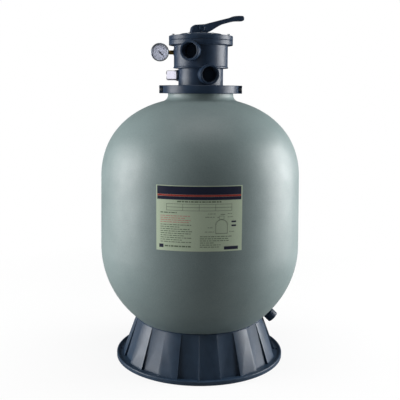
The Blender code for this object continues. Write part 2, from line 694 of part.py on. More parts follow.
def base_stand():
    """Flared skirt with flat flutes, on a foot flange with a raised bead around its rim."""
    inner_top = SKIRT_TOP_RADIUS - FLUTE_STEP_TOP - SKIRT_WALL
    skirt_top = bottom_dome_z(inner_top * math.cos(math.pi / FLUTES / 2)) - SEAT_GAP
    bm = bmesh.new()
    bead_top = FOOT_THICKNESS + FOOT_BEAD_HEIGHT
    rings = [
        fluted_ring(bm, SKIRT_TOP_RADIUS, FLUTE_STEP_TOP, skirt_top),
        fluted_ring(bm, SKIRT_FOOT_RADIUS, FLUTE_STEP_FOOT, FOOT_THICKNESS),
        round_ring(bm, FOOT_RADIUS - 2 * FOOT_BEAD_WIDTH, FOOT_THICKNESS),
        round_ring(bm, FOOT_RADIUS - FOOT_BEAD_WIDTH, bead_top),
        round_ring(bm, FOOT_RADIUS - FOOT_BEAD_EDGE, bead_top),
        round_ring(bm, FOOT_RADIUS, bead_top - FOOT_BEAD_EDGE),
        round_ring(bm, FOOT_RADIUS, 0.0),
        round_ring(bm, SKIRT_FOOT_RADIUS - FLUTE_STEP_FOOT - SKIRT_WALL, 0.0),
        round_ring(bm, inner_top, skirt_top),
    ]
    join_rings(bm, rings)
    bmesh.ops.recalc_face_normals(bm, faces=bm.faces)
    stand = add_object("base_stand", bm, stand_plastic())
    hole_circle = (SKIRT_FOOT_RADIUS + FOOT_RADIUS - 2 * FOOT_BEAD_WIDTH) / 2
    holes = []
    for number in range(FOOT_HOLES):
        hole = rod(FOOT_HOLE_RADIUS, -CUT_EXTRA, bead_top + CUT_EXTRA, BOLT_FACETS)
        direction = facing(360 / FOOT_HOLES * number)
        holes.append(moved(hole, direction @ Matrix.Translation((hole_circle, 0, 0))))
    combine(stand, "DIFFERENCE", holes)


# ---------------------------------------------------------------- drain

def drain_origin():
    """Where the drain's axis leaves the shell."""
    return Vector((DRAIN_SHELL_RADIUS, 0, bottom_dome_z(DRAIN_SHELL_RADIUS)))


def drain_turn():
    """Turn that points +Z out along the drain."""
    return Euler((0, math.radians(90 + DRAIN_TILT), 0))


def drain_piece(bm):
    """A piece modelled about Z, moved to the drain's axis."""
    return moved(bm, Matrix.Translation(drain_origin()) @ drain_turn().to_matrix().to_4x4())


def drain_seat_depth():
    """How far inside the drain's origin its seat lies: clear of the dome all round, and a little proud."""
    width, depth = TANK_RADIUS - TANK_WALL, BOTTOM_DOME_DEPTH - TANK_WALL
    cosine, sine = math.cos(math.radians(DRAIN_TILT)), math.sin(math.radians(DRAIN_TILT))
    origin = drain_origin()
    reaches = []
    for across in (-DRAIN_SEAT_RADIUS, DRAIN_SEAT_RADIUS):
        x = (origin.x + across * sine) / width
        z = (origin.z - BOTTOM_DOME_Z + across * cosine) / depth
        along_x, along_z = cosine / width, sine / depth
        square = along_x ** 2 + along_z ** 2
        half = x * along_x - z * along_z
        reaches.append((half - math.sqrt(half ** 2 - square * (x ** 2 + z ** 2 - 1))) / square)
    return max(reaches) + DRAIN_SEAT_PROUD


def drain():
    """Spigot through the shell with its seals, a slotted strainer inside and a cap outside."""
    place_of = (drain_origin(), drain_turn())
    gasket_out = -(drain_seat_depth() + SEAT_GAP)
    gasket_in = gasket_out - DRAIN_GASKET_THICKNESS
    flange_out = gasket_in - SEAT_GAP
    flange_in = flange_out - SPIGOT_FLANGE_THICKNESS
    bore = SPIGOT_RADIUS + RUNNING_GAP
    gasket = ring(bore, SPIGOT_FLANGE_RADIUS - MM, gasket_in, gasket_out, SMALL_FACETS)
    add_object("drain_spigot_gasket", gasket, seal_rubber(), *place_of)
    spigot = turned([(SPIGOT_BORE, flange_in), (SPIGOT_FLANGE_RADIUS, flange_in),
                     (SPIGOT_FLANGE_RADIUS, flange_out), (SPIGOT_RADIUS, flange_out),
                     (SPIGOT_RADIUS, SPIGOT_LENGTH), (SPIGOT_BORE, SPIGOT_LENGTH)], SMALL_FACETS)
    add_object("drain_spigot", spigot, valve_plastic(), *place_of)
    drain_strainer(flange_in - SEAT_GAP, place_of)
    seal_start = SPIGOT_LENGTH + SEAT_GAP
    seal = ring(SPIGOT_BORE, SPIGOT_RADIUS, seal_start, seal_start + CAP_GASKET_THICKNESS, SMALL_FACETS)
    add_object("drain_cap_gasket", seal, seal_rubber(), *place_of)
    cap = turned([(0, DRAIN_CAP_FLOOR), (DRAIN_CAP_BORE, DRAIN_CAP_FLOOR), (DRAIN_CAP_BORE, DRAIN_CAP_START),
                  (DRAIN_CAP_RADIUS, DRAIN_CAP_START), (DRAIN_CAP_RADIUS, DRAIN_CAP_END - DRAIN_CAP_EDGE),
                  (DRAIN_CAP_RADIUS - DRAIN_CAP_EDGE, DRAIN_CAP_END), (0, DRAIN_CAP_END)], DRAIN_CAP_GRIPS)
    add_object("drain_cap", cap, valve_plastic(), *place_of)


def drain_strainer(open_end, place_of):
    """Cup with slots across it, behind the spigot's flange."""
    closed_end = open_end - STRAINER_LENGTH
    inside = SPIGOT_RADIUS - STRAINER_WALL
    cup = turned([(0, closed_end), (SPIGOT_RADIUS, closed_end), (SPIGOT_RADIUS, open_end), (inside, open_end),
                  (inside, closed_end + STRAINER_WALL), (0, closed_end + STRAINER_WALL)], SMALL_FACETS)
    strainer = add_object("drain_strainer", cup, inner_plastic(), *place_of)
    pitch = STRAINER_LENGTH / (STRAINER_SLOTS + 1)
    half = SPIGOT_RADIUS - STRAINER_SLOT_DEPTH
    slots = []
    for number in range(STRAINER_SLOTS):
        low = closed_end + pitch * (number + 1) - STRAINER_SLOT_WIDTH / 2
        slots.append(block((-half, -SPIGOT_RADIUS - MM, low),
                           (half, SPIGOT_RADIUS + MM, low + STRAINER_SLOT_WIDTH)))
    combine(strainer, "DIFFERENCE", slots)


# ---------------------------------------------------------------- clamp

def clamp():
    """Two half rings that grip the neck's lip and the valve's flange, bolted through lugs."""
    groove = around(LIP_RADIUS + RUNNING_GAP, VALVE_FACETS)
    neck = around(NECK_RADIUS + RUNNING_GAP, VALVE_FACETS)
    lower = CLAMP_BOTTOM_Z + CLAMP_LIP_THICKNESS
    upper = CLAMP_TOP_Z - CLAMP_TOP_LIP_THICKNESS
    edge = CLAMP_EDGE
    profile = [(neck, CLAMP_BOTTOM_Z), (CLAMP_RADIUS - edge, CLAMP_BOTTOM_Z),
               (CLAMP_RADIUS, CLAMP_BOTTOM_Z + edge), (CLAMP_RADIUS, CLAMP_TOP_Z - edge),
               (CLAMP_RADIUS - edge, CLAMP_TOP_Z), (CLAMP_TOP_LIP_RADIUS, CLAMP_TOP_Z),
               (CLAMP_TOP_LIP_RADIUS, upper), (groove, upper), (groove, lower),
               (neck, lower)]
    split = math.asin(CLAMP_SPLIT / 2 / CLAMP_TOP_LIP_RADIUS)
    for name, side in (("clamp_front", -1), ("clamp_rear", 1)):
        start = split if side > 0 else math.pi + split
        ring_half = turned(profile, VALVE_FACETS // 2, math.pi - 2 * split, start)
        half = add_object(name, ring_half, valve_plastic())
        combine(half, "UNION", [clamp_lug(side, end, groove + MM) for end in (-1, 1)])
        combine(half, "DIFFERENCE", [clamp_pocket(side, end) for end in (-1, 1)])
        combine(half, "DIFFERENCE", [clamp_bolt_hole(end) for end in (-1, 1)])
    clamp_fasteners()


def clamp_seat():
    """How far from the split the head or the nut of a bolt bears on its lug."""
    return CLAMP_SPLIT / 2 + 2 * LUG_WALL


def clamp_bolt_z():
    return (CLAMP_BOTTOM_Z + CLAMP_TOP_Z) / 2


def block_between(x_ends, y_ends, z_ends):
    """Box from three pairs of ends in any order."""
    pairs = [sorted(ends) for ends in (x_ends, y_ends, z_ends)]
    return block([pair[0] for pair in pairs], [pair[1] for pair in pairs])


def clamp_lug(side, end, root):
    return block_between((end * root, end * LUG_REACH), (side * CLAMP_SPLIT / 2, side * LUG_DEPTH),
                         (CLAMP_BOTTOM_Z, CLAMP_TOP_Z))


def clamp_pocket(side, end):
    """Space for the head or the nut, open at the lug's end and back."""
    return block_between((end * (CLAMP_BOLT_X - CLAMP_HEAD_RADIUS - MM), end * (LUG_REACH + CUT_EXTRA)),
                         (side * clamp_seat(), side * (LUG_DEPTH + CUT_EXTRA)),
                         (CLAMP_BOTTOM_Z + LUG_WALL, CLAMP_TOP_Z - LUG_WALL))


def clamp_bolt_hole(end):
    reach = LUG_DEPTH + CUT_EXTRA
    hole = moved(rod(CLAMP_BOLT_RADIUS + RUNNING_GAP, -reach, reach, BOLT_FACETS), ALONG_Y)
    return shifted(hole, end * CLAMP_BOLT_X, 0, clamp_bolt_z())


def clamp_fasteners():
    """A bolt and a nut through each pair of lugs."""
    near = clamp_seat() + SEAT_GAP
    far = near + CLAMP_HEAD_HEIGHT
    for name, end in (("left", -1), ("right", 1)):
        spot = (end * CLAMP_BOLT_X, 0, clamp_bolt_z())
        bolt = turned([(0, -far), (CLAMP_HEAD_RADIUS, -far), (CLAMP_HEAD_RADIUS, -near),
                       (CLAMP_BOLT_RADIUS, -near), (CLAMP_BOLT_RADIUS, far + MM), (0, far + MM)], BOLT_FACETS)
        add_object(f"clamp_bolt_{name}", moved(bolt, ALONG_Y), stainless(), spot)
        nut = ring(CLAMP_BOLT_RADIUS + SEAT_GAP, CLAMP_HEAD_RADIUS, near, far, BOLT_FACETS)
        add_object(f"clamp_nut_{name}", moved(nut, ALONG_Y), stainless(), spot)


# ---------------------------------------------------------------- valve

def valve_body():
    """Flanged body: an upper chamber over six passages, with three threaded ports."""
    flare = LOWER_BODY_RADIUS + LOWER_BODY_FLARE
    lip = UPPER_BODY_RADIUS + UPPER_LIP
    lip_top = UPPER_BODY_Z + UPPER_LIP_HEIGHT
    outside = [(0, VALVE_FLANGE_Z), (LIP_RADIUS, VALVE_FLANGE_Z), (LIP_RADIUS, VALVE_FLANGE_TOP_Z),
               (flare, VALVE_FLANGE_TOP_Z), (flare, CLAMP_TOP_Z),
               (LOWER_BODY_RADIUS, CLAMP_TOP_Z + LOWER_BODY_FLARE),
               (LOWER_BODY_RADIUS, UPPER_BODY_Z), (lip, UPPER_BODY_Z), (lip, lip_top),
               (UPPER_BODY_RADIUS, lip_top + UPPER_LIP), (UPPER_BODY_RADIUS, BODY_FLANGE_Z),
               (COVER_FLANGE_RADIUS, BODY_FLANGE_Z), (COVER_FLANGE_RADIUS, BODY_TOP_Z), (0, BODY_TOP_Z)]
    body = add_object("valve_body", turned(outside, VALVE_FACETS), valve_plastic())
    spigot = ring(NECK_SPIGOT_RADIUS - NECK_SPIGOT_WALL, NECK_SPIGOT_RADIUS, NECK_SPIGOT_BOTTOM_Z,
                  VALVE_FLANGE_Z + MM, VALVE_FACETS)
    socket = rod(SOCKET_RADIUS, SOCKET_BOTTOM_Z, VALVE_FLANGE_Z + MM, PIPE_FACETS)
    root = SECTOR_INNER + CUT_EXTRA
    added = [spigot, socket,
             radial_rod(PORT_RADIUS, root, PUMP_PORT_REACH, PUMP_PORT_Z, PUMP_PORT_AZIMUTH, PIPE_FACETS),
             radial_rod(PORT_RADIUS, root, LOW_PORT_REACH, LOW_PORT_Z, RETURN_PORT_AZIMUTH, PIPE_FACETS),
             radial_rod(PORT_RADIUS, root, LOW_PORT_REACH, LOW_PORT_Z, WASTE_PORT_AZIMUTH, PIPE_FACETS),
             radial_rod(GAUGE_BOSS_RADIUS, root, GAUGE_BOSS_REACH, GAUGE_Z, -90, SMALL_FACETS),
             radial_rod(SIGHT_BOSS_RADIUS, root, SIGHT_BOSS_REACH, SIGHT_Z, -90, PIPE_FACETS)]
    combine(body, "UNION", added)
    chamber = rod(CHAMBER_RADIUS, PLATE_TOP_Z, BODY_TOP_Z + 2 * CUT_EXTRA, VALVE_FACETS)
    combine(body, "DIFFERENCE", [chamber] + valve_passages() + valve_bores() + cover_screw_holes())
    weld(body)


def valve_passages():
    """Six pie-shaped passages under the plate, and the openings at their lower ends."""
    below_plate = PLATE_TOP_Z - PLATE_THICKNESS
    cuts = [sector(SECTOR_INNER, SECTOR_OUTER, sector_azimuth(number), 360 / SECTORS,
                   FLOOR_TOP_Z, PLATE_TOP_Z + CUT_EXTRA) for number in range(SECTORS)]
    tank_side, pipe_sides, waste_pair = 1, (2, 5), 3.5
    wide_web = 1.6 * SECTOR_WEB
    cuts.append(sector(SECTOR_INNER + MM, SECTOR_OUTER - MM, sector_azimuth(tank_side), 360 / SECTORS,
                       VALVE_FLANGE_Z - CUT_EXTRA, FLOOR_TOP_Z + CUT_EXTRA, wide_web))
    for number in pipe_sides:
        cuts.append(sector(SOCKET_BORE - 3 * CUT_EXTRA, SECTOR_INNER + CUT_EXTRA, sector_azimuth(number),
                           360 / SECTORS, STANDPIPE_TOP_Z + 2 * CUT_EXTRA, below_plate, wide_web))
    cuts.append(sector(SECTOR_INNER + MM, SECTOR_OUTER - MM, sector_azimuth(waste_pair), 360 / SECTORS,
                       FLOOR_TOP_Z + MM, below_plate - 2 * CUT_EXTRA))
    return cuts


def valve_bores():
    """Port bores, the standpipe's socket, seal grooves and the two side bores."""
    low_port_in = SECTOR_OUTER - LOW_PORT_INSET
    pump_port_in = CHAMBER_RADIUS - PUMP_PORT_INSET
    groove = STANDPIPE_RADIUS + 2 * STANDPIPE_RING_SECTION + SEAT_GAP
    ring_z = standpipe_ring_z()
    half = STANDPIPE_RING_SECTION + RUNNING_GAP
    inner, outer = neck_groove()
    cover_inner, cover_outer = cover_groove()
    return [
        radial_rod(PORT_BORE, pump_port_in, PUMP_PORT_REACH + CUT_EXTRA, PUMP_PORT_Z,
                   PUMP_PORT_AZIMUTH, PIPE_FACETS),
        radial_rod(PORT_BORE, low_port_in, LOW_PORT_REACH + CUT_EXTRA, LOW_PORT_Z,
                   RETURN_PORT_AZIMUTH, PIPE_FACETS),
        radial_rod(PORT_BORE, low_port_in, LOW_PORT_REACH + CUT_EXTRA, LOW_PORT_Z,
                   WASTE_PORT_AZIMUTH, PIPE_FACETS),
        rod(SOCKET_BORE, SOCKET_BOTTOM_Z - CUT_EXTRA, PLATE_TOP_Z - PLATE_THICKNESS - MM, PIPE_FACETS),
        ring(SOCKET_BORE - MM, groove, ring_z - half, ring_z + half, PIPE_FACETS),
        ring(inner, outer, VALVE_FLANGE_Z - CUT_EXTRA, VALVE_FLANGE_Z + neck_groove_depth(), VALVE_FACETS),
        ring(cover_inner, cover_outer, BODY_TOP_Z - cover_groove_depth(), BODY_TOP_Z + CUT_EXTRA,
             VALVE_FACETS),
        radial_rod(STEM_THREAD + RUNNING_GAP, pump_port_in, GAUGE_BOSS_REACH + CUT_EXTRA,
                   GAUGE_Z, -90, SMALL_FACETS),
        radial_rod(SIGHT_BORE, low_port_in, SIGHT_BOSS_REACH + CUT_EXTRA, SIGHT_Z, -90, SMALL_FACETS),
    ]


def neck_groove():
    """Radii of the groove for the tank o-ring, in the valve's flange."""
    centre = (NECK_BORE + LIP_RADIUS) / 2
    half = NECK_RING_SECTION + RUNNING_GAP
    return centre - half, centre + half


def neck_groove_depth():
    return 2 * (NECK_RING_SECTION + SEAT_GAP) - FLANGE_GAP


def cover_groove():
    """Radii of the groove for the cover o-ring, between the chamber and the screws."""
    inner = CHAMBER_RADIUS + COVER_GROOVE_INSET
    return inner, inner + 2 * COVER_RING_SECTION + 2 * SEAT_GAP


def cover_groove_depth():
    return 2 * COVER_RING_SECTION + SEAT_GAP


def standpipe_ring_z():
    return VALVE_FLANGE_Z + VALVE_FLANGE_THICKNESS / 2


def around_screws(make):
    """One bmesh for each cover screw, from a function that makes it on the axis."""
    made = []
    for number in range(COVER_SCREWS):
        azimuth = 360 / COVER_SCREWS * (number + 0.5)
        made.append(moved(make(), facing(azimuth) @ Matrix.Translation((SCREW_CIRCLE, 0, 0))))
    return made


def cover_screw_holes():
    hole = SCREW_RADIUS + SEAT_GAP
    return around_screws(lambda: rod(hole, SCREW_BOTTOM_Z - MM, COVER_TOP_Z, BOLT_FACETS))


def valve_cover():
    """Low dome with a flange, and a sleeve that guides the shaft."""
    ceiling = COVER_TOP_Z - COVER_WALL
    inside_foot = CHAMBER_RADIUS - COVER_INSIDE_MARGIN
    inside = [(inside_foot, COVER_Z), (inside_foot - 4 * MM, COVER_FLANGE_TOP_Z - COVER_WALL),
              (COVER_CROWN_RADIUS - COVER_WALL / 2, ceiling), (COVER_SLEEVE_RADIUS, ceiling),
              (COVER_SLEEVE_RADIUS, COVER_SLEEVE_Z), (COVER_SLEEVE_BORE, COVER_SLEEVE_Z)]
    outside = [(COVER_SLEEVE_BORE, COVER_TOP_Z), (COVER_CROWN_RADIUS, COVER_TOP_Z),
               (COVER_SHOULDER_RADIUS, COVER_FLANGE_TOP_Z), (COVER_FLANGE_RADIUS, COVER_FLANGE_TOP_Z),
               (COVER_FLANGE_RADIUS, COVER_Z)]
    cover = add_object("valve_cover", turned(inside + outside, VALVE_FACETS), valve_plastic())
    combine(cover, "DIFFERENCE", cover_screw_holes())
    for number, screw in enumerate(around_screws(cover_screw)):
        add_object(f"cover_screw_{number + 1}", screw, stainless())
    plate_z = COVER_TOP_Z + SEAT_GAP
    plate = ring(PLATE_INNER_RADIUS, PLATE_OUTER_RADIUS, plate_z, plate_z + POSITION_PLATE_THICKNESS,
                 PIPE_FACETS)
    add_object("position_plate", plate, dial_print())


def cover_screw():
    """Hexagon screw with its axis on Z."""
    head = COVER_FLANGE_TOP_Z + SEAT_GAP
    head_top = head + SCREW_HEAD_HEIGHT
    return turned([(0, SCREW_BOTTOM_Z), (SCREW_RADIUS, SCREW_BOTTOM_Z), (SCREW_RADIUS, head),
                   (SCREW_HEAD_RADIUS, head), (SCREW_HEAD_RADIUS, head_top), (0, head_top)], BOLT_FACETS)


def valve_seals():
    inner, outer = neck_groove()
    ring_z = NECK_TOP_Z + SEAT_GAP + NECK_RING_SECTION
    tank_ring = torus((inner + outer) / 2, NECK_RING_SECTION, ring_z, VALVE_FACETS)
    add_object("tank_o_ring", tank_ring, seal_rubber())
    inner, outer = cover_groove()
    ring_z = BODY_TOP_Z - COVER_RING_SECTION
    cover_ring = torus((inner + outer) / 2, COVER_RING_SECTION, ring_z, VALVE_FACETS)
    add_object("cover_o_ring", cover_ring, seal_rubber())
    pipe_ring = torus(STANDPIPE_RADIUS + SEAT_GAP + STANDPIPE_RING_SECTION, STANDPIPE_RING_SECTION,
                      standpipe_ring_z(), PIPE_FACETS)
    add_object("standpipe_o_ring", pipe_ring, seal_rubber())
    gasket_top = GASKET_Z + GASKET_THICKNESS
    spider = add_object("spider_gasket", rod(ROTOR_RADIUS, GASKET_Z, gasket_top, VALVE_FACETS), seal_rubber())
    windows = [sector(SECTOR_INNER, SECTOR_OUTER, sector_azimuth(number), 360 / SECTORS,
                      GASKET_Z - CUT_EXTRA, gasket_top + CUT_EXTRA) for number in range(SECTORS)]
    combine(spider, "DIFFERENCE", windows)
    for name, height in zip(("lower", "upper"), SHAFT_RING_Z):
        seal = torus(SHAFT_RADIUS + SEAT_GAP - SHAFT_RING_SECTION, SHAFT_RING_SECTION, height, SMALL_FACETS)
        add_object(f"shaft_o_ring_{name}", seal, seal_rubber())


def rotor():
    """Disc with one open window and a hollow underside, on a grooved shaft."""
    groove_floor = SHAFT_RADIUS - 2 * SHAFT_RING_SECTION
    half = SHAFT_RING_SECTION + SEAT_GAP
    hub_top = ROTOR_TOP_Z + ROTOR_HUB_HEIGHT
    profile = [(0, ROTOR_Z), (ROTOR_RADIUS, ROTOR_Z), (ROTOR_RADIUS, ROTOR_TOP_Z),
               (ROTOR_HUB_RADIUS, ROTOR_TOP_Z), (ROTOR_HUB_RADIUS, hub_top), (SHAFT_RADIUS, hub_top)]
    for height in SHAFT_RING_Z:
        profile += [(SHAFT_RADIUS, height - half), (groove_floor - SEAT_GAP, height - half),
                    (groove_floor - SEAT_GAP, height + half), (SHAFT_RADIUS, height + half)]
    profile += [(SHAFT_RADIUS, SHAFT_TOP_Z), (0, SHAFT_TOP_Z)]
    disc = add_object("rotor", turned(profile, PIPE_FACETS), valve_plastic())
    pocket_top = ROTOR_TOP_Z - ROTOR_TOP_WALL
    inner, outer = SECTOR_INNER, SECTOR_OUTER
    cuts = [sector(inner, outer, sector_azimuth(0), 360 / SECTORS, ROTOR_Z - MM, ROTOR_TOP_Z + MM),
            sector(inner, outer, sector_azimuth(1.5), 720 / SECTORS, ROTOR_Z - MM, pocket_top),
            sector(inner, outer, sector_azimuth(4), 1080 / SECTORS, ROTOR_Z - MM, pocket_top, steps=7)]
    pin_hole = moved(rod(PIN_RADIUS + SEAT_GAP, -HANDLE_WIDTH, HANDLE_WIDTH, SMALL_FACETS), ALONG_Y)
    turn = Matrix.Rotation(math.radians(HANDLE_AZIMUTH), 4, "Z")
    cuts.append(moved(pin_hole, Matrix.Translation((0, 0, PIN_Z)) @ turn))
    combine(disc, "DIFFERENCE", cuts)


def spring():
    """Coil between the rotor and the washer under the cover."""
    low = ROTOR_TOP_Z + SEAT_GAP + SPRING_WIRE / 2
    high = SPRING_WASHER_Z - SEAT_GAP - SPRING_WIRE / 2
    steps = SPRING_STEPS
    count = int(SPRING_TURNS * steps)
    curve = bpy.data.curves.new("rotor_spring", "CURVE")
    curve.dimensions = "3D"
    curve.bevel_depth = SPRING_WIRE / 2 - 0.1 * MM
    curve.bevel_resolution = 1
    curve.use_fill_caps = True
    line = curve.splines.new("POLY")
    line.points.add(count)
    for i in range(count + 1):
        angle = FULL_TURN * i / steps
        share = min(max((i - steps / 2) / (count - steps), 0.0), 1.0)
        point = (SPRING_MEAN_RADIUS * math.cos(angle), SPRING_MEAN_RADIUS * math.sin(angle))
        line.points[i].co = (*point, low + (high - low) * share, 1.0)
    curve.materials.append(stainless())
    place("rotor_spring", curve)
    half = SPRING_WIRE / 2 + WASHER_MARGIN
    washer = ring(SPRING_MEAN_RADIUS - half, SPRING_MEAN_RADIUS + half, SPRING_WASHER_Z,
                  SPRING_WASHER_Z + WASHER_THICKNESS, PIPE_FACETS)
    add_object("spring_washer", washer, stainless())


# ---------------------------------------------------------------- handle

def lever_outline():
    """Side view of the lever from the pin: a cam foot, a swept arm and a rounded grip."""
    foot = -CAM_DROP
    tip = LEVER_REACH
    under = [(-33 * MM, foot + 2.6 * MM), (-22 * MM, foot), (CAM_REACH - 1.5 * MM, foot),
             (CAM_REACH, foot + 0.7 * MM), (CAM_REACH + 6 * MM, foot + 2.6 * MM),
             (CAM_REACH + 12 * MM, foot + 4.6 * MM), (43 * MM, 1.2 * MM), (60 * MM, 10.6 * MM),
             (77 * MM, 16.4 * MM), (102 * MM, 22.6 * MM), (tip - 6 * MM, 23.6 * MM)]
    end = [(tip - 1.5 * MM, 25.4 * MM), (tip, 29.4 * MM), (tip - 1.5 * MM, 35.6 * MM),
           (tip - 6 * MM, 38.6 * MM)]
    over = [(108 * MM, 38.2 * MM), (93 * MM, 35.6 * MM), (87 * MM, 32.0 * MM), (60 * MM, 25.2 * MM),
            (34 * MM, 18.2 * MM), (9 * MM, 11.2 * MM), (-12 * MM, 9.6 * MM), (-23 * MM, 8.6 * MM),
            (-29 * MM, 2.0 * MM)]
    return under + end + over


def shaft_slot():
    """Slot that the shaft stands in, long enough for the lever's tilt."""
    sine, cosine = math.sin(math.radians(HANDLE_TILT)), math.cos(math.radians(HANDLE_TILT))
    behind = SHAFT_RADIUS * cosine + SHAFT_ABOVE_PIN * sine + RUNNING_GAP
    ahead = (SHAFT_RADIUS + CAM_DROP * sine) / cosine + RUNNING_GAP
    roof = SHAFT_RADIUS * sine + SHAFT_ABOVE_PIN * cosine + RUNNING_GAP
    half = SHAFT_RADIUS + RUNNING_GAP
    return block((-behind, -half, -CAM_DROP - CUT_EXTRA), (ahead, half, roof))


def handle():
    """Lever with two cheeks that straddle the shaft; its origin is on the pin."""
    turn = (0, 0, math.radians(HANDLE_AZIMUTH))
    spot = (0, 0, PIN_Z)
    stand_up = Matrix.Rotation(math.radians(90), 4, "X")
    bm = extruded(lever_outline(), HANDLE_WIDTH)
    moved(bm, Matrix.Translation((0, HANDLE_WIDTH / 2, 0)) @ stand_up)
    for vertex in bm.verts:
        if vertex.co.x > GRIP_START:
            vertex.co.y *= GRIP_WIDTH / HANDLE_WIDTH
    lever = add_object("handle", bm, valve_plastic(), spot, turn)
    hole = moved(rod(PIN_RADIUS + SEAT_GAP, -HANDLE_WIDTH, HANDLE_WIDTH, SMALL_FACETS), ALONG_Y)
    combine(lever, "DIFFERENCE", [shaft_slot(), hole])
    half = HANDLE_WIDTH / 2 - PIN_INSET
    pin = moved(rod(PIN_RADIUS, -half, half, SMALL_FACETS), ALONG_Y)
    add_object("handle_pin", pin, stainless(), spot, turn)
    washer = ring(SHAFT_RADIUS + RUNNING_GAP, SLIP_WASHER_RADIUS, SLIP_WASHER_Z,
                  SLIP_WASHER_Z + SLIP_WASHER_THICKNESS, PIPE_FACETS)
    add_object("slip_washer", washer, inner_plastic())


# ---------------------------------------------------------------- gauge

def gauge():
    """Round gauge facing the front on a brass stem; its own axis runs along -Y."""
    centre = Vector((GAUGE_X, 0, GAUGE_Z))
    to_front = (math.radians(90), 0, 0)
    half = GAUGE_DEPTH / 2
    floor = -half + 2 * GAUGE_WALL
    inside = GAUGE_RADIUS - GAUGE_WALL
    case = turned([(0, -half), (GAUGE_RADIUS - GAUGE_EDGE, -half), (GAUGE_RADIUS, -half + GAUGE_EDGE),
                   (GAUGE_RADIUS, half), (inside, half), (inside, floor), (0, floor)], PIPE_FACETS)
    cup = add_object("gauge_case", case, gauge_steel(), centre, to_front)
    stem_hole = rod(STEM_NECK + RUNNING_GAP, inside - 2 * CUT_EXTRA, BEZEL_RADIUS + CUT_EXTRA, SMALL_FACETS)
    combine(cup, "DIFFERENCE", [moved(stem_hole, ALONG_X)])
    front = half + SEAT_GAP
    lens = rod(inside, front, front + LENS_THICKNESS, PIPE_FACETS)
    add_object("gauge_lens", lens, clear_plastic(), centre, to_front)
    face = front + LENS_THICKNESS + SEAT_GAP
    bore = GAUGE_RADIUS + SEAT_GAP
    window = inside - BEZEL_LIP
    bezel = turned([(bore, face - BEZEL_DEPTH), (BEZEL_RADIUS, face - BEZEL_DEPTH),
                    (BEZEL_RADIUS, face + BEZEL_FRONT - BEZEL_EDGE),
                    (BEZEL_RADIUS - BEZEL_EDGE, face + BEZEL_FRONT), (window, face + BEZEL_FRONT),
                    (window, face), (bore, face)], PIPE_FACETS)
    add_object("gauge_bezel", bezel, gauge_steel(), centre, to_front)
    dial_front = half - DIAL_SETBACK
    dial_back = dial_front - DIAL_THICKNESS
    dial = ring(ARBOR_RADIUS + SEAT_GAP, DIAL_RADIUS, dial_back, dial_front, PIPE_FACETS)
    add_object("gauge_dial", dial, dial_print(), centre, to_front)
    gauge_pointer(centre, dial_front)
    gauge_works(centre, dial_back)
    gauge_stem(inside - CUT_EXTRA)


def gauge_pointer(centre, dial_front):
    """Tapered needle on an arbor, turned to its place at rest."""
    low = dial_front + POINTER_ABOVE_DIAL
    high = low + POINTER_THICKNESS
    tail, hub, tip = POINTER_HALF_WIDTHS
    side = [(-POINTER_TAIL, tail), (0, hub), (POINTER_LENGTH, tip)]
    needle = extruded([(x, -y) for x, y in side] + side[::-1], high - low)
    turn = (math.radians(90), math.radians(POINTER_REST), 0)
    pointer = add_object("gauge_pointer", shifted(needle, z=low), pointer_paint(), centre, turn)
    overlap = 0.1 * MM
    cap = rod(POINTER_HUB_RADIUS, low - overlap, high + SEAT_GAP, SMALL_FACETS)
    arbor = rod(ARBOR_RADIUS, dial_front - ARBOR_LENGTH, low + overlap, BOLT_FACETS)
    combine(pointer, "UNION", [cap, arbor])


def gauge_works(centre, dial_back):
    """Bourdon tube behind the dial: a C of flattened tube from the stem."""
    depth = dial_back - BOURDON_TUBE_RADIUS - BOURDON_BEHIND_DIAL
    curve = bpy.data.curves.new("gauge_tube", "CURVE")
    curve.dimensions = "3D"
    curve.bevel_depth = BOURDON_TUBE_RADIUS
    curve.bevel_resolution = 1
    curve.use_fill_caps = True
    line = curve.splines.new("POLY")
    line.points.add(BOURDON_STEPS)
    first, last = BOURDON_ARC
    for i in range(BOURDON_STEPS + 1):
        angle = math.radians(first + (last - first) * i / BOURDON_STEPS)
        line.points[i].co = (POINTER_LENGTH * math.cos(angle), POINTER_LENGTH * math.sin(angle), depth, 1.0)
    curve.materials.append(brass())
    place("gauge_tube", curve, centre, (math.radians(90), 0, 0))


def gauge_stem(inner_reach):
    """Brass socket: thread in the boss, hexagon, and a neck into the case."""
    thread_end = -(CHAMBER_RADIUS + MM)
    start = -(GAUGE_BOSS_REACH + SEAT_GAP)
    hexagon_end = GAUGE_X + BEZEL_RADIUS + RUNNING_GAP
    neck_end = GAUGE_X + inner_reach
    profile = [(0, thread_end), (STEM_THREAD, thread_end), (STEM_THREAD, start), (STEM_HEX, start),
               (STEM_HEX, hexagon_end), (STEM_NECK, hexagon_end), (STEM_NECK, neck_end), (0, neck_end)]
    add_object("gauge_stem", moved(turned(profile, BOLT_FACETS), ALONG_X), brass(), (0, 0, GAUGE_Z))


def sight_glass():
    """Clear cup on the left of the lower body, over its gasket."""
    start = SIGHT_BOSS_REACH + SEAT_GAP
    pad = ring(SIGHT_BORE, SIGHT_RADIUS, start, start + SIGHT_GASKET, PIPE_FACETS)
    outwards = (0, math.radians(-90), 0)
    add_object("sight_glass_gasket", pad, seal_rubber(), (0, 0, SIGHT_Z), outwards)
    low = start + SIGHT_GASKET + SEAT_GAP
    high = low + SIGHT_LENGTH
    inside = SIGHT_RADIUS - SIGHT_WALL
    cup = turned([(inside, low), (SIGHT_RADIUS, low), (SIGHT_RADIUS, high - SIGHT_EDGE),
                  (SIGHT_RADIUS - SIGHT_EDGE, high), (0, high), (0, high - SIGHT_WALL),
                  (inside, high - SIGHT_WALL)], PIPE_FACETS)
    add_object("sight_glass", cup, clear_plastic(), (0, 0, SIGHT_Z), outwards)


# ---------------------------------------------------------------- inside the tank

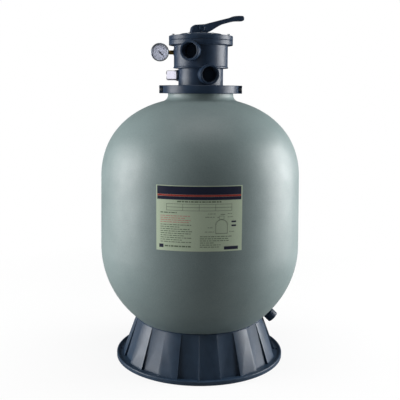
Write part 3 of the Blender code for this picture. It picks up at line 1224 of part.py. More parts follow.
def standpipe_foot_z():
    """Height at which the standpipe stands in the hub."""
    return LATERAL_Z - HUB_BELOW_PIVOT / 2


def standpipe():
    bore = STANDPIPE_RADIUS - STANDPIPE_WALL
    pipe = ring(bore, STANDPIPE_RADIUS, standpipe_foot_z(), STANDPIPE_TOP_Z, PIPE_FACETS)
    add_object("standpipe", pipe, inner_plastic())


def diffuser():
    """Cage under the valve: a ring in its spigot, posts, and a dish that spreads the water."""
    ring_out = NECK_SPIGOT_RADIUS - NECK_SPIGOT_WALL - RUNNING_GAP
    ring_in = ring_out - DIFFUSER_RING_WIDTH
    top = VALVE_FLANGE_Z - RUNNING_GAP
    bottom = top - DIFFUSER_DROP
    rim = ring(ring_in, ring_out, top - DIFFUSER_RING_HEIGHT, top, VALVE_FACETS)
    cage = add_object("top_diffuser", rim, inner_plastic())
    dish = ring(SOCKET_RADIUS + MM, ring_out, bottom, bottom + DIFFUSER_DISH_THICKNESS, VALVE_FACETS)
    centre = (ring_in + ring_out) / 2
    thick, wide = DIFFUSER_POST
    posts = []
    for number in range(DIFFUSER_POSTS):
        post = block((centre - thick / 2, -wide / 2, bottom + MM), (centre + thick / 2, wide / 2, top - MM))
        posts.append(moved(post, facing(360 / DIFFUSER_POSTS * number)))
    combine(cage, "UNION", [dish, *posts])


def lateral_azimuth(number):
    return 360 / LATERALS * (number + 0.5)


def lateral_hub():
    """Turned hub with a slot for each lateral's tongue and a socket for the standpipe."""
    socket = STANDPIPE_RADIUS + SEAT_GAP
    shelf = standpipe_foot_z() - SEAT_GAP
    profile = [(0, HUB_BOTTOM_Z), (HUB_RADIUS, HUB_BOTTOM_Z), (HUB_RADIUS, HUB_TOP_Z), (socket, HUB_TOP_Z),
               (socket, shelf), (0, shelf)]
    hub = add_object("lateral_hub", turned(profile, PIPE_FACETS), inner_plastic())
    half = TONGUE_WIDTH / 2 + RUNNING_GAP
    inner = LATERAL_PIVOT_RADIUS - TONGUE_RADIUS - MM
    low = LATERAL_Z - TONGUE_RADIUS - MM
    slots = [moved(block((inner, -half, low), (HUB_RADIUS + CUT_EXTRA, half, HUB_TOP_Z + CUT_EXTRA)),
                   facing(lateral_azimuth(number))) for number in range(LATERALS)]
    combine(hub, "DIFFERENCE", slots)


def lateral_reach():
    """Length of a lateral from its pivot, so that its end stays clear of the bottom dome."""
    dome = bottom_dome_radius(LATERAL_Z - LATERAL_RADIUS, TANK_WALL)
    return dome - LATERAL_END_GAP - LATERAL_PIVOT_RADIUS


def lateral_tongue():
    """Flat tongue with a round end on the pivot."""
    angles = [math.pi * (0.5 + i / TONGUE_ARC_STEPS) for i in range(TONGUE_ARC_STEPS + 1)]
    outline = [(TONGUE_RADIUS * math.cos(a), TONGUE_RADIUS * math.sin(a)) for a in angles]
    outline += [(TONGUE_LENGTH + MM, -TONGUE_RADIUS), (TONGUE_LENGTH + MM, TONGUE_RADIUS)]
    upright = Matrix.Translation((0, TONGUE_WIDTH / 2, 0)) @ Matrix.Rotation(math.radians(90), 4, "X")
    return moved(extruded(outline, TONGUE_WIDTH), upright)


def lateral_slots(start, end):
    """Slots across the tube, evenly spaced along its bore."""
    pitch = (end - start) / (LATERAL_SLOTS + 0.4)
    half = LATERAL_RADIUS - LATERAL_SLOT_DEPTH
    slots = []
    for number in range(LATERAL_SLOTS):
        x = start + pitch * (number + 0.7)
        slots.append(block((x, -LATERAL_RADIUS - MM, -half),
                           (x + LATERAL_SLOT_WIDTH, LATERAL_RADIUS + MM, half)))
    return slots


def laterals():
    """Slotted tubes that fold up about a pivot in the hub; all share one mesh."""
    bore = LATERAL_RADIUS - LATERAL_WALL
    end = lateral_reach()
    bore_start = TONGUE_LENGTH + 2 * LATERAL_WALL
    tube = turned([(0, TONGUE_LENGTH), (LATERAL_RADIUS, TONGUE_LENGTH), (LATERAL_RADIUS, end), (bore, end),
                   (bore, bore_start), (0, bore_start)], LATERAL_FACETS)
    shape = None
    for number in range(LATERALS):
        direction = facing(lateral_azimuth(number))
        spot = direction @ Vector((LATERAL_PIVOT_RADIUS, 0, LATERAL_Z))
        turn = direction.to_euler()
        name = f"lateral_{number + 1}"
        if shape:
            place(name, shape, spot, turn)
            continue
        first = add_object(name, moved(tube, ALONG_X), inner_plastic(), spot, turn)
        combine(first, "UNION", [lateral_tongue()])
        combine(first, "DIFFERENCE", lateral_slots(bore_start, end))
        shape = whole_mesh(first)
        first.modifiers.clear()
        first.data = shape


def whole_mesh(thing):
    """The object's mesh with its modifiers applied."""
    graph = bpy.context.evaluated_depsgraph_get()
    return bpy.data.meshes.new_from_object(thing.evaluated_get(graph))


def main():
    for thing in list(bpy.data.objects):
        bpy.data.objects.remove(thing)
    base_stand()
    tank_shell()
    label()
    drain()
    clamp()
    valve_body()
    valve_cover()
    valve_seals()
    rotor()
    spring()
    handle()
    gauge()
    sight_glass()
    standpipe()
    diffuser()
    lateral_hub()
    laterals()


main()
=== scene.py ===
"""Looks of a top-mount sand filter: the moulded skins, fittings and finishes that go round the
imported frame. Run as a script; each piece is an operator, listed in a panel. Metres, +Z up."""

import json
import math

import bpy
from mathutils import Matrix, Vector

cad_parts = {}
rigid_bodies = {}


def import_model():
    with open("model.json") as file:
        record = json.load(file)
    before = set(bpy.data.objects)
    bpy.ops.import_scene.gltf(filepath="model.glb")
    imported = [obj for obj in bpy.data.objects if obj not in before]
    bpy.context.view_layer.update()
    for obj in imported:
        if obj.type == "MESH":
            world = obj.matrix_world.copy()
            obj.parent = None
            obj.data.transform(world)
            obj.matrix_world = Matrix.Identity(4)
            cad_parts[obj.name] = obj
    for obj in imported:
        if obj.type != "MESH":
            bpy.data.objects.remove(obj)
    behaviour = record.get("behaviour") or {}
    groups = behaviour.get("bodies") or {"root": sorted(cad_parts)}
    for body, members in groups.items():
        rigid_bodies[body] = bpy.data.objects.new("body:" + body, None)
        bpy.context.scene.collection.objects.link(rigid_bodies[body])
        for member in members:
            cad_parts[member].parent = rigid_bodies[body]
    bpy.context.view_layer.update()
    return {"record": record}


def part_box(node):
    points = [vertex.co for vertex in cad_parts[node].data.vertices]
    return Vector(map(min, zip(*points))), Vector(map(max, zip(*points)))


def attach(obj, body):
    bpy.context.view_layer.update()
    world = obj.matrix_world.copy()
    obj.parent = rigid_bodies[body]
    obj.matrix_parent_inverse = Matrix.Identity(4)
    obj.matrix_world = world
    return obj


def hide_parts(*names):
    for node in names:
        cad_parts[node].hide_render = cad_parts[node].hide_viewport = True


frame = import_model()

bl_info = {
    "name": "Sand Filter Tank",
    "version": (1, 0, 0),
    "blender": (4, 5, 0),
    "location": "View3D > Sidebar > Sand Filter",
    "description": "Models and finishes a top-mount sand filter round its packed frame",
    "category": "Object",
}

MM = 0.001
FRONT = -90.0
ROUND_STEPS = 144
PART_STEPS = 72
SMALL_STEPS = 32
TANK_RADIUS = 306.7 * MM
COVER_RADIUS = 95.9 * MM


def low(node):
    return Vector(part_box(node)[0])


def high(node):
    return Vector(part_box(node)[1])


def middle(node):
    return (low(node) + high(node)) / 2


# ---------------------------------------------------------------- settings

class TankSettings(bpy.types.PropertyGroup):
    radius: bpy.props.FloatProperty(
        name="Radius", description="Outside radius of the tank at its widest",
        default=TANK_RADIUS, unit="LENGTH")
    shoulder_radius: bpy.props.FloatProperty(
        name="Shoulder radius", description="Outside radius where the top dome starts",
        default=303.0 * MM, unit="LENGTH")
    wall: bpy.props.FloatProperty(
        name="Wall", description="Thickness of the moulded wall", default=8.0 * MM, unit="LENGTH")


class ValveSettings(bpy.types.PropertyGroup):
    upper_radius: bpy.props.FloatProperty(
        name="Upper radius", description="Radius of the upper chamber outside",
        default=81.0 * MM, unit="LENGTH")
    lower_radius: bpy.props.FloatProperty(
        name="Lower radius", description="Radius of the lower body outside",
        default=67.5 * MM, unit="LENGTH")
    port_radius: bpy.props.FloatProperty(
        name="Port radius", description="Outside radius of a port's collar",
        default=29.5 * MM, unit="LENGTH")
    port_bore: bpy.props.FloatProperty(
        name="Port bore", description="Radius at the bottom of a port's thread",
        default=23.75 * MM, unit="LENGTH")


class StageSettings(bpy.types.PropertyGroup):
    lens: bpy.props.FloatProperty(
        name="Lens", description="Focal length of the camera in millimetres", default=60.0)
    left_light: bpy.props.FloatProperty(
        name="Left light", description="Power of the left lamp", default=74.0, unit="POWER")
    right_light: bpy.props.FloatProperty(
        name="Right light", description="Power of the right lamp", default=90.0, unit="POWER")
    top_light: bpy.props.FloatProperty(
        name="Top light", description="Power of the top lamp", default=22.0, unit="POWER")
    front_light: bpy.props.FloatProperty(
        name="Front light", description="Power of the front lamp", default=3.0, unit="POWER")


# ---------------------------------------------------------------- modelling tools

def clear_selection():
    if bpy.context.object and bpy.context.object.mode != "OBJECT":
        bpy.ops.object.mode_set(mode="OBJECT")
    bpy.ops.object.select_all(action="DESELECT")


def only(piece):
    """Selects one piece and nothing else."""
    clear_selection()
    piece.select_set(True)
    bpy.context.view_layer.objects.active = piece
    return piece


def edit(piece):
    only(piece)
    bpy.ops.object.mode_set(mode="EDIT")
    bpy.ops.mesh.select_all(action="DESELECT")


def leave():
    bpy.ops.object.mode_set(mode="OBJECT")


def hold_place():
    """Moves the selected piece's place, turn and scale into its mesh."""
    bpy.ops.object.transform_apply(location=True, rotation=True, scale=True)


def turn_by(angle, axis="Z"):
    return Matrix.Rotation(math.radians(angle), 4, axis)


def move_by(x, y, z):
    return Matrix.Translation((x, y, z))


def pick_faces(piece, test):
    """Selects the faces whose centre and normal pass a test."""
    bpy.ops.mesh.select_mode(type="FACE")
    bpy.ops.mesh.select_all(action="DESELECT")
    leave()
    for face in piece.data.polygons:
        face.select = test(face.center, face.normal)
    bpy.ops.object.mode_set(mode="EDIT")


def pick_points(piece, test):
    """Selects the points whose place passes a test."""
    bpy.ops.mesh.select_mode(type="VERT")
    bpy.ops.mesh.select_all(action="DESELECT")
    leave()
    for point in piece.data.vertices:
        point.select = test(point.co)
    bpy.ops.object.mode_set(mode="EDIT")


def start_point(name):
    """A piece of one selected point at the origin, ready to be drawn out."""
    clear_selection()
    bpy.ops.mesh.primitive_plane_add(size=0.01, location=(0, 0, 0))
    piece = bpy.context.object
    piece.name = name
    bpy.ops.object.mode_set(mode="EDIT")
    bpy.ops.mesh.select_all(action="SELECT")
    bpy.ops.mesh.merge(type="CENTER")
    return piece


def draw_out(points):
    """Extrudes the selected point through a row of places."""
    here = Vector(points[0])
    bpy.ops.transform.translate(value=here)
    for place in points[1:]:
        step = Vector(place) - here
        bpy.ops.mesh.extrude_vertices_move(TRANSFORM_OT_translate={"value": step})
        here = Vector(place)


def turned(name, outline, steps=PART_STEPS):
    """Lathe work: an outline of (radius, height) points spun about Z."""
    piece = start_point(name)
    draw_out([(radius, 0, height) for radius, height in outline])
    bpy.ops.mesh.select_all(action="SELECT")
    bpy.ops.mesh.spin(steps=steps, angle=math.tau, center=(0, 0, 0), axis=(0, 0, 1))
    tidy_shell()
    return smooth(piece)


def cut_out(name, outline, width):
    """Flat work: an outline of (x, z) points filled and thickened evenly to both sides in Y."""
    piece = start_point(name)
    draw_out([(x, -width / 2, z) for x, z in outline])
    bpy.ops.mesh.select_all(action="SELECT")
    bpy.ops.mesh.edge_face_add()
    bpy.ops.mesh.extrude_region_move(TRANSFORM_OT_translate={"value": (0, width, 0)})
    tidy_shell()
    leave()
    return piece


def tidy_shell():
    """Welds the selected shell and points its faces outwards."""
    bpy.ops.mesh.select_all(action="SELECT")
    bpy.ops.mesh.remove_doubles(threshold=0.01 * MM)
    bpy.ops.mesh.normals_make_consistent(inside=False)
    leave()


def smooth(piece, angle=32.0):
    only(piece)
    bpy.ops.object.shade_smooth_by_angle(angle=math.radians(angle))
    return piece


def apply(piece, kind, **settings):
    """Adds a modifier with its settings and applies it."""
    only(piece)
    modifier = piece.modifiers.new(kind.lower(), kind)
    for key, value in settings.items():
        setattr(modifier, key, value)
    bpy.ops.object.modifier_apply(modifier=modifier.name)
    return piece


def round_edges(piece, width, segments=3, angle=30.0):
    apply(piece, "BEVEL", width=width, segments=segments, limit_method="ANGLE",
          angle_limit=math.radians(angle), harden_normals=False, miter_outer="MITER_ARC")
    return smooth(piece, 40.0)


def boolean(piece, tool, operation):
    """Cuts or joins with a tool, which is used up."""
    apply(piece, "BOOLEAN", object=tool, operation=operation, solver="EXACT")
    bpy.data.objects.remove(tool)
    return piece


def settle(piece, turn=(0, 0, 0), place=(0, 0, 0)):
    """Turns a piece and puts it in its place, both held in its mesh."""
    only(piece)
    piece.rotation_euler = turn
    piece.location = place
    hold_place()
    return piece


def place_by(piece, matrix):
    """The same, by a matrix."""
    only(piece)
    piece.matrix_world = matrix
    hold_place()
    return piece


def box(name, lowest, highest):
    """Cube primitive between two corners, as a blank or a cutter."""
    clear_selection()
    lowest, highest = Vector(lowest), Vector(highest)
    bpy.ops.mesh.primitive_cube_add(size=1.0, location=(lowest + highest) / 2, scale=highest - lowest)
    piece = bpy.context.object
    piece.name = name
    hold_place()
    return piece


def rod(name, radius, bottom, top, steps=SMALL_STEPS):
    """Cylinder primitive along Z, as a blank or a cutter."""
    clear_selection()
    bpy.ops.mesh.primitive_cylinder_add(vertices=steps, radius=radius, depth=top - bottom,
                                        location=(0, 0, (top + bottom) / 2))
    piece = bpy.context.object
    piece.name = name
    hold_place()
    return smooth(piece)


def joined(name, parts):
    """Several pieces made one object."""
    only(parts[0])
    for part in parts[1:]:
        part.select_set(True)
    bpy.ops.object.join()
    parts[0].name = name
    return parts[0]


def copied(piece, name, matrix):
    """A copy with its own mesh, at another place."""
    only(piece)
    bpy.ops.object.duplicate()
    twin = bpy.context.object
    twin.name = name
    return place_by(twin, matrix)


def coat(piece, skin):
    """Gives a piece one finish all over."""
    piece.data.materials.clear()
    piece.data.materials.append(Skins.get(skin))


def finish_piece(piece, body, slot, skin, *nodes):
    """Gives a finished piece its finish and body, and hides the nodes that it stands for; the slot is not
    used.
    """
    coat(piece, skin)
    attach(piece, body)
    if nodes:
        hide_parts(*nodes)
    return piece


def outwards(azimuth, height=0.0):
    """Turns a piece modelled along Z so that it points out of the axis, at a height."""
    return (move_by(0, 0, height) @ turn_by(azimuth + FRONT)
            @ turn_by(90, "Y"))


def about_z(azimuth):
    return turn_by(azimuth + FRONT)


def arc(centre, radius, start, end, steps):
    """Points of a round stretch of an outline; angles in degrees from +X."""
    angles = [math.radians(start + (end - start) * i / steps) for i in range(steps + 1)]
    return [(centre[0] + radius * math.cos(a), centre[1] + radius * math.sin(a)) for a in angles]


# ---------------------------------------------------------------- materials

def linear(colour):
    """sRGB hex to the linear colour that a shader reads."""
    parts = [int(colour[i:i + 2], 16) / 255 for i in (1, 3, 5)]
    return [part / 12.92 if part <= 0.04045 else ((part + 0.055) / 1.055) ** 2.4 for part in parts]


def add_node(tree, kind, settings=(), links=()):
    """Adds a node; settings name its properties or sockets, and links feed its sockets."""
    node = tree.nodes.new(kind)
    for key, value in dict(settings).items():
        if isinstance(key, int) or key in node.inputs:
            node.inputs[key].default_value = value
        else:
            setattr(node, key, value)
    for key, socket in dict(links).items():
        tree.links.new(socket, node.inputs[key])
    return node


def new_material(name, **sockets):
    """A Principled material with its uniform values on the shader's own sockets."""
    skin = bpy.data.materials.new(name)
    skin.use_nodes = True
    shader = skin.node_tree.nodes["Principled BSDF"]
    for key, value in sockets.items():
        shader.inputs[key.replace("_", " ").title().replace("Ior", "IOR")].default_value = value
    return skin, skin.node_tree, shader


def coordinates(tree, kind="Object"):
    return add_node(tree, "ShaderNodeTexCoord").outputs[kind]


def grain(tree, size, detail=2.0, roughness=0.5, place=None):
    """Noise whose lumps measure about a size in metres."""
    return add_node(tree, "ShaderNodeTexNoise",
                    {"Scale": 1.0 / size, "Detail": detail, "Roughness": roughness},
                    {"Vector": place or coordinates(tree)}).outputs["Fac"]


def ramp(tree, value, stops):
    """Colour ramp through (position, linear colour or grey) stops."""
    node = add_node(tree, "ShaderNodeValToRGB", {}, {"Fac": value})
    elements = node.color_ramp.elements
    while len(elements) < len(stops):
        elements.new(0.5)
    for element, (position, colour) in zip(elements, stops):
        element.position = position
        element.color = (*colour, 1.0) if isinstance(colour, (list, tuple)) else (colour, colour, colour, 1.0)
    return node.outputs["Color"]


def mix(tree, share, first, second, blend="MIX"):
    """Mixes two colours; each is a socket or a linear colour."""
    node = add_node(tree, "ShaderNodeMix", {"data_type": "RGBA", "blend_type": blend})
    for socket, value in ((node.inputs[0], share), (node.inputs[6], first), (node.inputs[7], second)):
        if isinstance(value, bpy.types.NodeSocket):
            tree.links.new(value, socket)
        elif isinstance(value, (list, tuple)):
            socket.default_value = (*value, 1.0)
        else:
            socket.default_value = value
    return node.outputs[2]


def bump(tree, shader, heights):
    """Stacks bumps of (height socket, depth in metres, strength) on a shader's normal."""
    normal = None
    for height, depth, strength in heights:
        links = {"Height": height}
        if normal:
            links["Normal"] = normal
        bumped = add_node(tree, "ShaderNodeBump", {"Distance": depth, "Strength": strength}, links)
        normal = bumped.outputs["Normal"]
    tree.links.new(normal, shader.inputs["Normal"])


def tank_polymer():
    """Grey moulded polymer: fine speckle in the colour and an orange-peel skin from the mould."""
    skin, tree, shader = new_material("tank_polymer_moulded", specular_ior_level=0.5)
    speck = ramp(tree, grain(tree, 1.6 * MM, 3.0, 0.7),
                 [(0.36, linear("#6c7b7b")), (0.62, linear("#8e9e9e"))])
    cloud = ramp(tree, grain(tree, 90 * MM, 4.0), [(0.3, linear("#758585")), (0.7, linear("#829292"))])
    tree.links.new(mix(tree, 0.55, speck, cloud), shader.inputs["Base Color"])
    rough = ramp(tree, grain(tree, 40 * MM, 3.0), [(0.3, 0.40), (0.7, 0.50)])
    tree.links.new(rough, shader.inputs["Roughness"])
    bump(tree, shader, [(grain(tree, 14 * MM, 1.0), 0.5 * MM, 0.35),
                        (grain(tree, 2.2 * MM, 3.0, 0.65), 0.12 * MM, 0.7)])
    return skin


def moulded_plastic(name, dark, light, rough, gloss_spread, skin_size, shine=0.5):
    """Injection-moulded plastic: even colour with faint flow clouds, and a fine skin texture."""
    skin, tree, shader = new_material(name, specular_ior_level=shine)
    cloud = ramp(tree, grain(tree, 35 * MM, 4.0, 0.6), [(0.3, linear(dark)), (0.72, linear(light))])
    tree.links.new(cloud, shader.inputs["Base Color"])
    smear = ramp(tree, grain(tree, 22 * MM, 5.0, 0.65), [(0.3, rough), (0.75, rough + gloss_spread)])
    tree.links.new(smear, shader.inputs["Roughness"])
    bump(tree, shader, [(grain(tree, skin_size, 2.0), 0.05 * MM, 0.5),
                        (grain(tree, 24 * MM, 1.0), 0.25 * MM, 0.22)])
    return skin


def machined_metal(name, colour, rough, line_size, axis=2):
    """Turned or drawn metal: fine lines round the piece that spread the gloss, and faint stain."""
    skin, tree, shader = new_material(name, metallic=1.0)
    stretch = [1.0, 1.0, 1.0]
    stretch[axis] = 14.0
    lines = add_node(tree, "ShaderNodeMapping", {"Scale": stretch}, {"Vector": coordinates(tree)}).outputs[0]
    fine = grain(tree, line_size, 2.0, 0.6, lines)
    tree.links.new(mix(tree, ramp(tree, grain(tree, 9 * MM, 4.0), [(0.35, 0.0), (0.8, 0.35)]),
                       linear(colour), [part * 0.55 for part in linear(colour)]), shader.inputs["Base Color"])
    tree.links.new(ramp(tree, fine, [(0.3, rough), (0.7, rough + 0.14)]), shader.inputs["Roughness"])
    bump(tree, shader, [(fine, 0.03 * MM, 0.35)])
    return skin


def moulded_rubber():
    """Moulded nitrile rubber: matte black with a fine bloom."""
    skin, tree, shader = new_material("nitrile_rubber_moulded")
    tree.links.new(ramp(tree, grain(tree, 6 * MM, 4.0), [(0.3, linear("#161718")), (0.8, linear("#242526"))]),
                   shader.inputs["Base Color"])
    rough = ramp(tree, grain(tree, 3 * MM, 2.0), [(0.3, 0.62), (0.7, 0.8)])
    tree.links.new(rough, shader.inputs["Roughness"])
    bump(tree, shader, [(grain(tree, 0.8 * MM), 0.03 * MM, 0.4)])
    return skin


def clear_acrylic():
    """Moulded clear acrylic: nearly invisible, with a sharp gloss on its edges."""
    skin, tree, shader = new_material("acrylic_moulded_clear", transmission_weight=1.0, ior=1.12)
    tree.links.new(mix(tree, grain(tree, 8 * MM, 3.0), linear("#ecebf6"), linear("#f8f8fd")),
                   shader.inputs["Base Color"])
    rough = ramp(tree, grain(tree, 5 * MM, 3.0), [(0.3, 0.02), (0.8, 0.09)])
    tree.links.new(rough, shader.inputs["Roughness"])
    return skin


def printed_ink(name, colour, lighter):
    """Screen-printed ink on film: slightly uneven cover and a satin face."""
    skin, tree, shader = new_material(name)
    tree.links.new(ramp(tree, grain(tree, 2.5 * MM, 3.0), [(0.3, linear(colour)), (0.75, linear(lighter))]),
                   shader.inputs["Base Color"])
    rough = ramp(tree, grain(tree, 12 * MM, 3.0), [(0.3, 0.34), (0.7, 0.46)])
    tree.links.new(rough, shader.inputs["Roughness"])
    bump(tree, shader, [(grain(tree, 30 * MM, 1.0), 0.2 * MM, 0.15)])
    return skin


class Skins:
    """The finishes, each made once."""
    made = {}

    @classmethod
    def get(cls, name):
        makers = {
            "tank": tank_polymer,
            "valve": lambda: moulded_plastic("abs_moulded_gloss", "#213044", "#2a3c52",
                                             0.32, 0.12, 1.1 * MM, 0.32),
            "stand": lambda: moulded_plastic("polypropylene_moulded_satin", "#26374a", "#2f4257",
                                             0.34, 0.12, 0.9 * MM, 0.45),
            "inner": lambda: moulded_plastic("pvc_moulded_white", "#cfcfc9", "#dcdcd6", 0.35, 0.15, 1.0 * MM),
            "stainless": lambda: machined_metal("stainless_cold_headed", "#83868a", 0.34, 0.6 * MM),
            "gauge_steel": lambda: machined_metal("steel_pressed_satin", "#a9b0b8", 0.26, 0.5 * MM, 1),
            "brass": lambda: machined_metal("brass_machined", "#8f7340", 0.3, 0.5 * MM, 0),
            "rubber": moulded_rubber,
            "clear": clear_acrylic,
            "label": lambda: printed_ink("film_printed_pale_green", "#c3d3b8", "#cddcc3"),
            "ink_navy": lambda: printed_ink("ink_navy_printed", "#1a2038", "#20273f"),
            "ink_red": lambda: printed_ink("ink_red_printed", "#a8322c", "#b33c34"),
            "ink_grey": lambda: printed_ink("ink_grey_green_printed", "#66795f", "#6f8268"),
            "ink_pink": lambda: printed_ink("ink_faded_red_printed", "#c9988a", "#cfa295"),
            "dial": lambda: printed_ink("enamel_white_baked", "#e9f1f7", "#f1f6fa"),
            "position_plate": lambda: printed_ink("plate_silver_printed", "#b6bcc2", "#c3c8cd"),
            "pointer": lambda: printed_ink("enamel_black_baked", "#121416", "#1a1c1f"),
        }
        if name not in cls.made:
            cls.made[name] = makers[name]()
        return cls.made[name]


# ---------------------------------------------------------------- tank

BOTTOM_DOME_Z = 356.0 * MM
BOTTOM_DOME_DEPTH = 295.0 * MM
TOP_DOME_Z = 562.0 * MM
TOP_DOME_HEIGHT = 249.0 * MM
TOP_DOME_POWER = 2.25
NECK_RADIUS = 98.8 * MM
NECK_BORE = 84.0 * MM
NECK_FILLET = 20.0 * MM
LIP_RADIUS = 106.0 * MM
LIP_THICKNESS = 8.0 * MM


def bottom_dome(radius, inset, steps):
    points = []
    for i in range(steps + 1):
        angle = math.pi / 2 * i / steps
        points.append(((radius - inset) * math.sin(angle),
                       BOTTOM_DOME_Z - (BOTTOM_DOME_DEPTH - inset) * math.cos(angle)))
    return points


def top_dome_z(radius, full, inset):
    rise = (1 - (radius / (full - inset)) ** TOP_DOME_POWER) ** (1 / TOP_DOME_POWER)
    return TOP_DOME_Z + (TOP_DOME_HEIGHT - inset) * rise


def top_dome(full, inset, last_radius, steps):
    last = math.acos(last_radius / (full - inset))
    radii = [(full - inset) * math.cos(last * i / steps) for i in range(steps + 1)]
    return [(radius, top_dome_z(radius, full, inset)) for radius in radii]


class OBJECT_OT_filter_tank(bpy.types.Operator):
    """Moulded tank with domed ends and a lipped neck"""
    bl_idname = "object.filter_tank"
    bl_label = "Tank"

    def execute(self, context):
        sizes = context.scene.filter_tank
        neck_top = high("tank_shell").z
        edge = NECK_RADIUS + NECK_FILLET
        full = sizes.shoulder_radius
        drop = top_dome_z(edge - MM, full, 0.0) - top_dome_z(edge, full, 0.0)
        lean = math.atan2(drop, MM)
        foot = edge - NECK_FILLET * math.sin(lean)
        foot_z = top_dome_z(foot, full, 0.0)
        centre = (edge, foot_z + NECK_FILLET * math.cos(lean))
        fillet = arc(centre, NECK_FILLET, 270 - math.degrees(lean), 180, 12)
        lip = neck_top - LIP_THICKNESS
        outline = bottom_dome(sizes.radius, 0.0, 30) + top_dome(full, 0.0, foot + MM, 34)
        outline += fillet
        outline += [(NECK_RADIUS, lip), (LIP_RADIUS, lip), (LIP_RADIUS, neck_top), (NECK_BORE, neck_top)]
        outline += top_dome(full, sizes.wall, NECK_BORE, 12)[::-1]
        outline += bottom_dome(sizes.radius, sizes.wall, 12)[::-1]
        tank = turned("tank_skin", outline, ROUND_STEPS)
        drain = rod("drain_cutter", DRAIN_BORE, -60 * MM, 60 * MM)
        place_by(drain, drain_matrix())
        boolean(tank, drain, "DIFFERENCE")
        smooth(tank, 40.0)
        finish_piece(tank, "root", "tank", "tank", "tank_shell")
        return {"FINISHED"}


# ---------------------------------------------------------------- label

LABEL_HALF_WIDTH = 115.8 * MM
LABEL_CENTRE_X = -2.0 * MM
PRINT_GRID = 4.0 * MM
PRINT_INSET = 0.012
SHEET_Y = -0.4


def label_place(across, down):
    """A place on the label's face from its shares of the width and height, before it is wrapped."""
    bottom, top = low("tank_label").z, high("tank_label").z
    return LABEL_CENTRE_X + LABEL_HALF_WIDTH * (2 * across - 1), top - (top - bottom) * down


def label_patch(name, left, top, right, bottom):
    """Flat grid in front of the tank that covers a part of the label."""
    x0, z0 = label_place(left, bottom)
    x1, z1 = label_place(right, top)
    columns = max(2, round((x1 - x0) / PRINT_GRID))
    rows = max(2, round((z1 - z0) / PRINT_GRID))
    clear_selection()
    bpy.ops.mesh.primitive_grid_add(x_subdivisions=columns, y_subdivisions=rows, size=1.0)
    patch = bpy.context.object
    patch.name = name
    patch.scale = (x1 - x0, z1 - z0, 1.0)
    bpy.ops.object.transform_apply(location=False, rotation=False, scale=True)
    return settle(patch, (math.radians(90), 0, 0), ((x0 + x1) / 2, SHEET_Y, (z0 + z1) / 2))


def wrap(patch, offset, thickness):
    """Lays a patch against the tank and gives it thickness."""
    tank = bpy.data.objects["tank_skin"]
    apply(patch, "SHRINKWRAP", target=tank, wrap_method="PROJECT", use_project_x=False, use_project_y=True,
          use_project_z=False, use_positive_direction=True, use_negative_direction=False,
          project_limit=0.5, offset=offset)
    apply(patch, "SOLIDIFY", thickness=thickness, offset=0.0, use_even_offset=True)
    return smooth(patch)


def words(left, top, length, height, row):
    """Breaks a row of the print into bars as long as words; the row's number varies them."""
    shortest, step, gap = 0.016, 0.008, 0.008
    bars, start, number = [], left, row
    while start < left + length - PRINT_INSET:
        wide = shortest + step * (number * 7 % 5)
        bars.append((start, top, min(start + wide, left + length), top + height))
        start += wide + gap
        number += 1
    return bars


def label_bars():
    """Generic print in shares of the label: rows of bars, a ruled frame, and a plain line drawing."""
    navy = [(0.0, 0.0, 1.0, 0.135), (0.0, 0.165, 1.0, 0.215), (0.79, 0.925, 0.955, 0.975),
            (0.035, 0.90, 0.085, 0.955), (0.875, 0.535, 0.93, 0.56), (0.875, 0.595, 0.93, 0.62)]
    red = [(0.0, 0.137, 1.0, 0.163)]
    grey = words(0.245, 0.232, 0.51, 0.02, 2)
    grey += ruled_table(0.12, 0.275, 0.88, 0.38, 4)
    grey += words(0.05, 0.405, 0.19, 0.015, 1)
    pink = []
    for row, length in enumerate((0.35, 0.30, 0.36, 0.33)):
        pink += words(0.05, 0.455 + 0.032 * row, length, 0.013, row)
    for row, length in enumerate((0.36, 0.22, 0.34, 0.37, 0.36, 0.28, 0.37, 0.25, 0.36)):
        grey += words(0.05, 0.592 + 0.033 * row, length, 0.011, row + 3)
    grey += words(0.10, 0.915, 0.32, 0.022, 4)
    for row, length in enumerate((0.37, 0.33, 0.35, 0.18, 0.24, 0.22)):
        grey += words(0.51, 0.765 + 0.032 * row, length, 0.011, row + 1)
    grey += line_drawing()
    for left, top, length in ((0.60, 0.42, 0.09), (0.57, 0.47, 0.11), (0.83, 0.42, 0.05), (0.83, 0.47, 0.06),
                              (0.60, 0.63, 0.06), (0.565, 0.695, 0.11), (0.85, 0.695, 0.06)):
        grey += words(left, top, length, 0.008, round(left * 100))
    return {"ink_navy": navy, "ink_red": red, "ink_grey": grey, "ink_pink": pink}


def ruled_table(left, top, right, bottom, columns):
    """Frame with one rule across and rules between its columns."""
    middle_row = (top + bottom) / 2
    bars = frame_bars(left, top, right, bottom, 0.004)
    bars.append((left, middle_row - 0.003, right, middle_row + 0.003))
    for number in range(1, columns):
        rule = left + (right - left) * number / columns
        bars.append((rule - 0.002, top, rule + 0.002, bottom))
    return bars


def line_drawing():
    """Outline of a round vessel on a foot: a dome of short bars over two sides, and a small cap."""
    centre, half, shoulder, foot = 0.76, 0.07, 0.59, 0.72
    bars = [(centre - half, shoulder, centre - half + 0.005, foot),
            (centre + half - 0.005, shoulder, centre + half, foot),
            (centre - half, foot, centre + half, foot + 0.008)]
    steps = 14
    for number in range(steps):
        angle = math.pi * (number + 0.5) / steps
        across, down = centre - (half - 0.0025) * math.cos(angle), shoulder - 0.075 * math.sin(angle)
        bars.append((across - 0.008, down - 0.004, across + 0.008, down + 0.004))
    bars += frame_bars(centre - 0.03, 0.455, centre + 0.03, 0.51, 0.004)
    return bars + [(centre - 0.012, 0.43, centre + 0.04, 0.44), (centre - 0.05, 0.475, centre - 0.03, 0.482)]


def frame_bars(left, top, right, bottom, line):
    """Four bars round a rectangle."""
    return [(left, top, right, top + 1.3 * line), (left, bottom - 1.3 * line, right, bottom),
            (left, top, left + line, bottom), (right - line, top, right, bottom)]


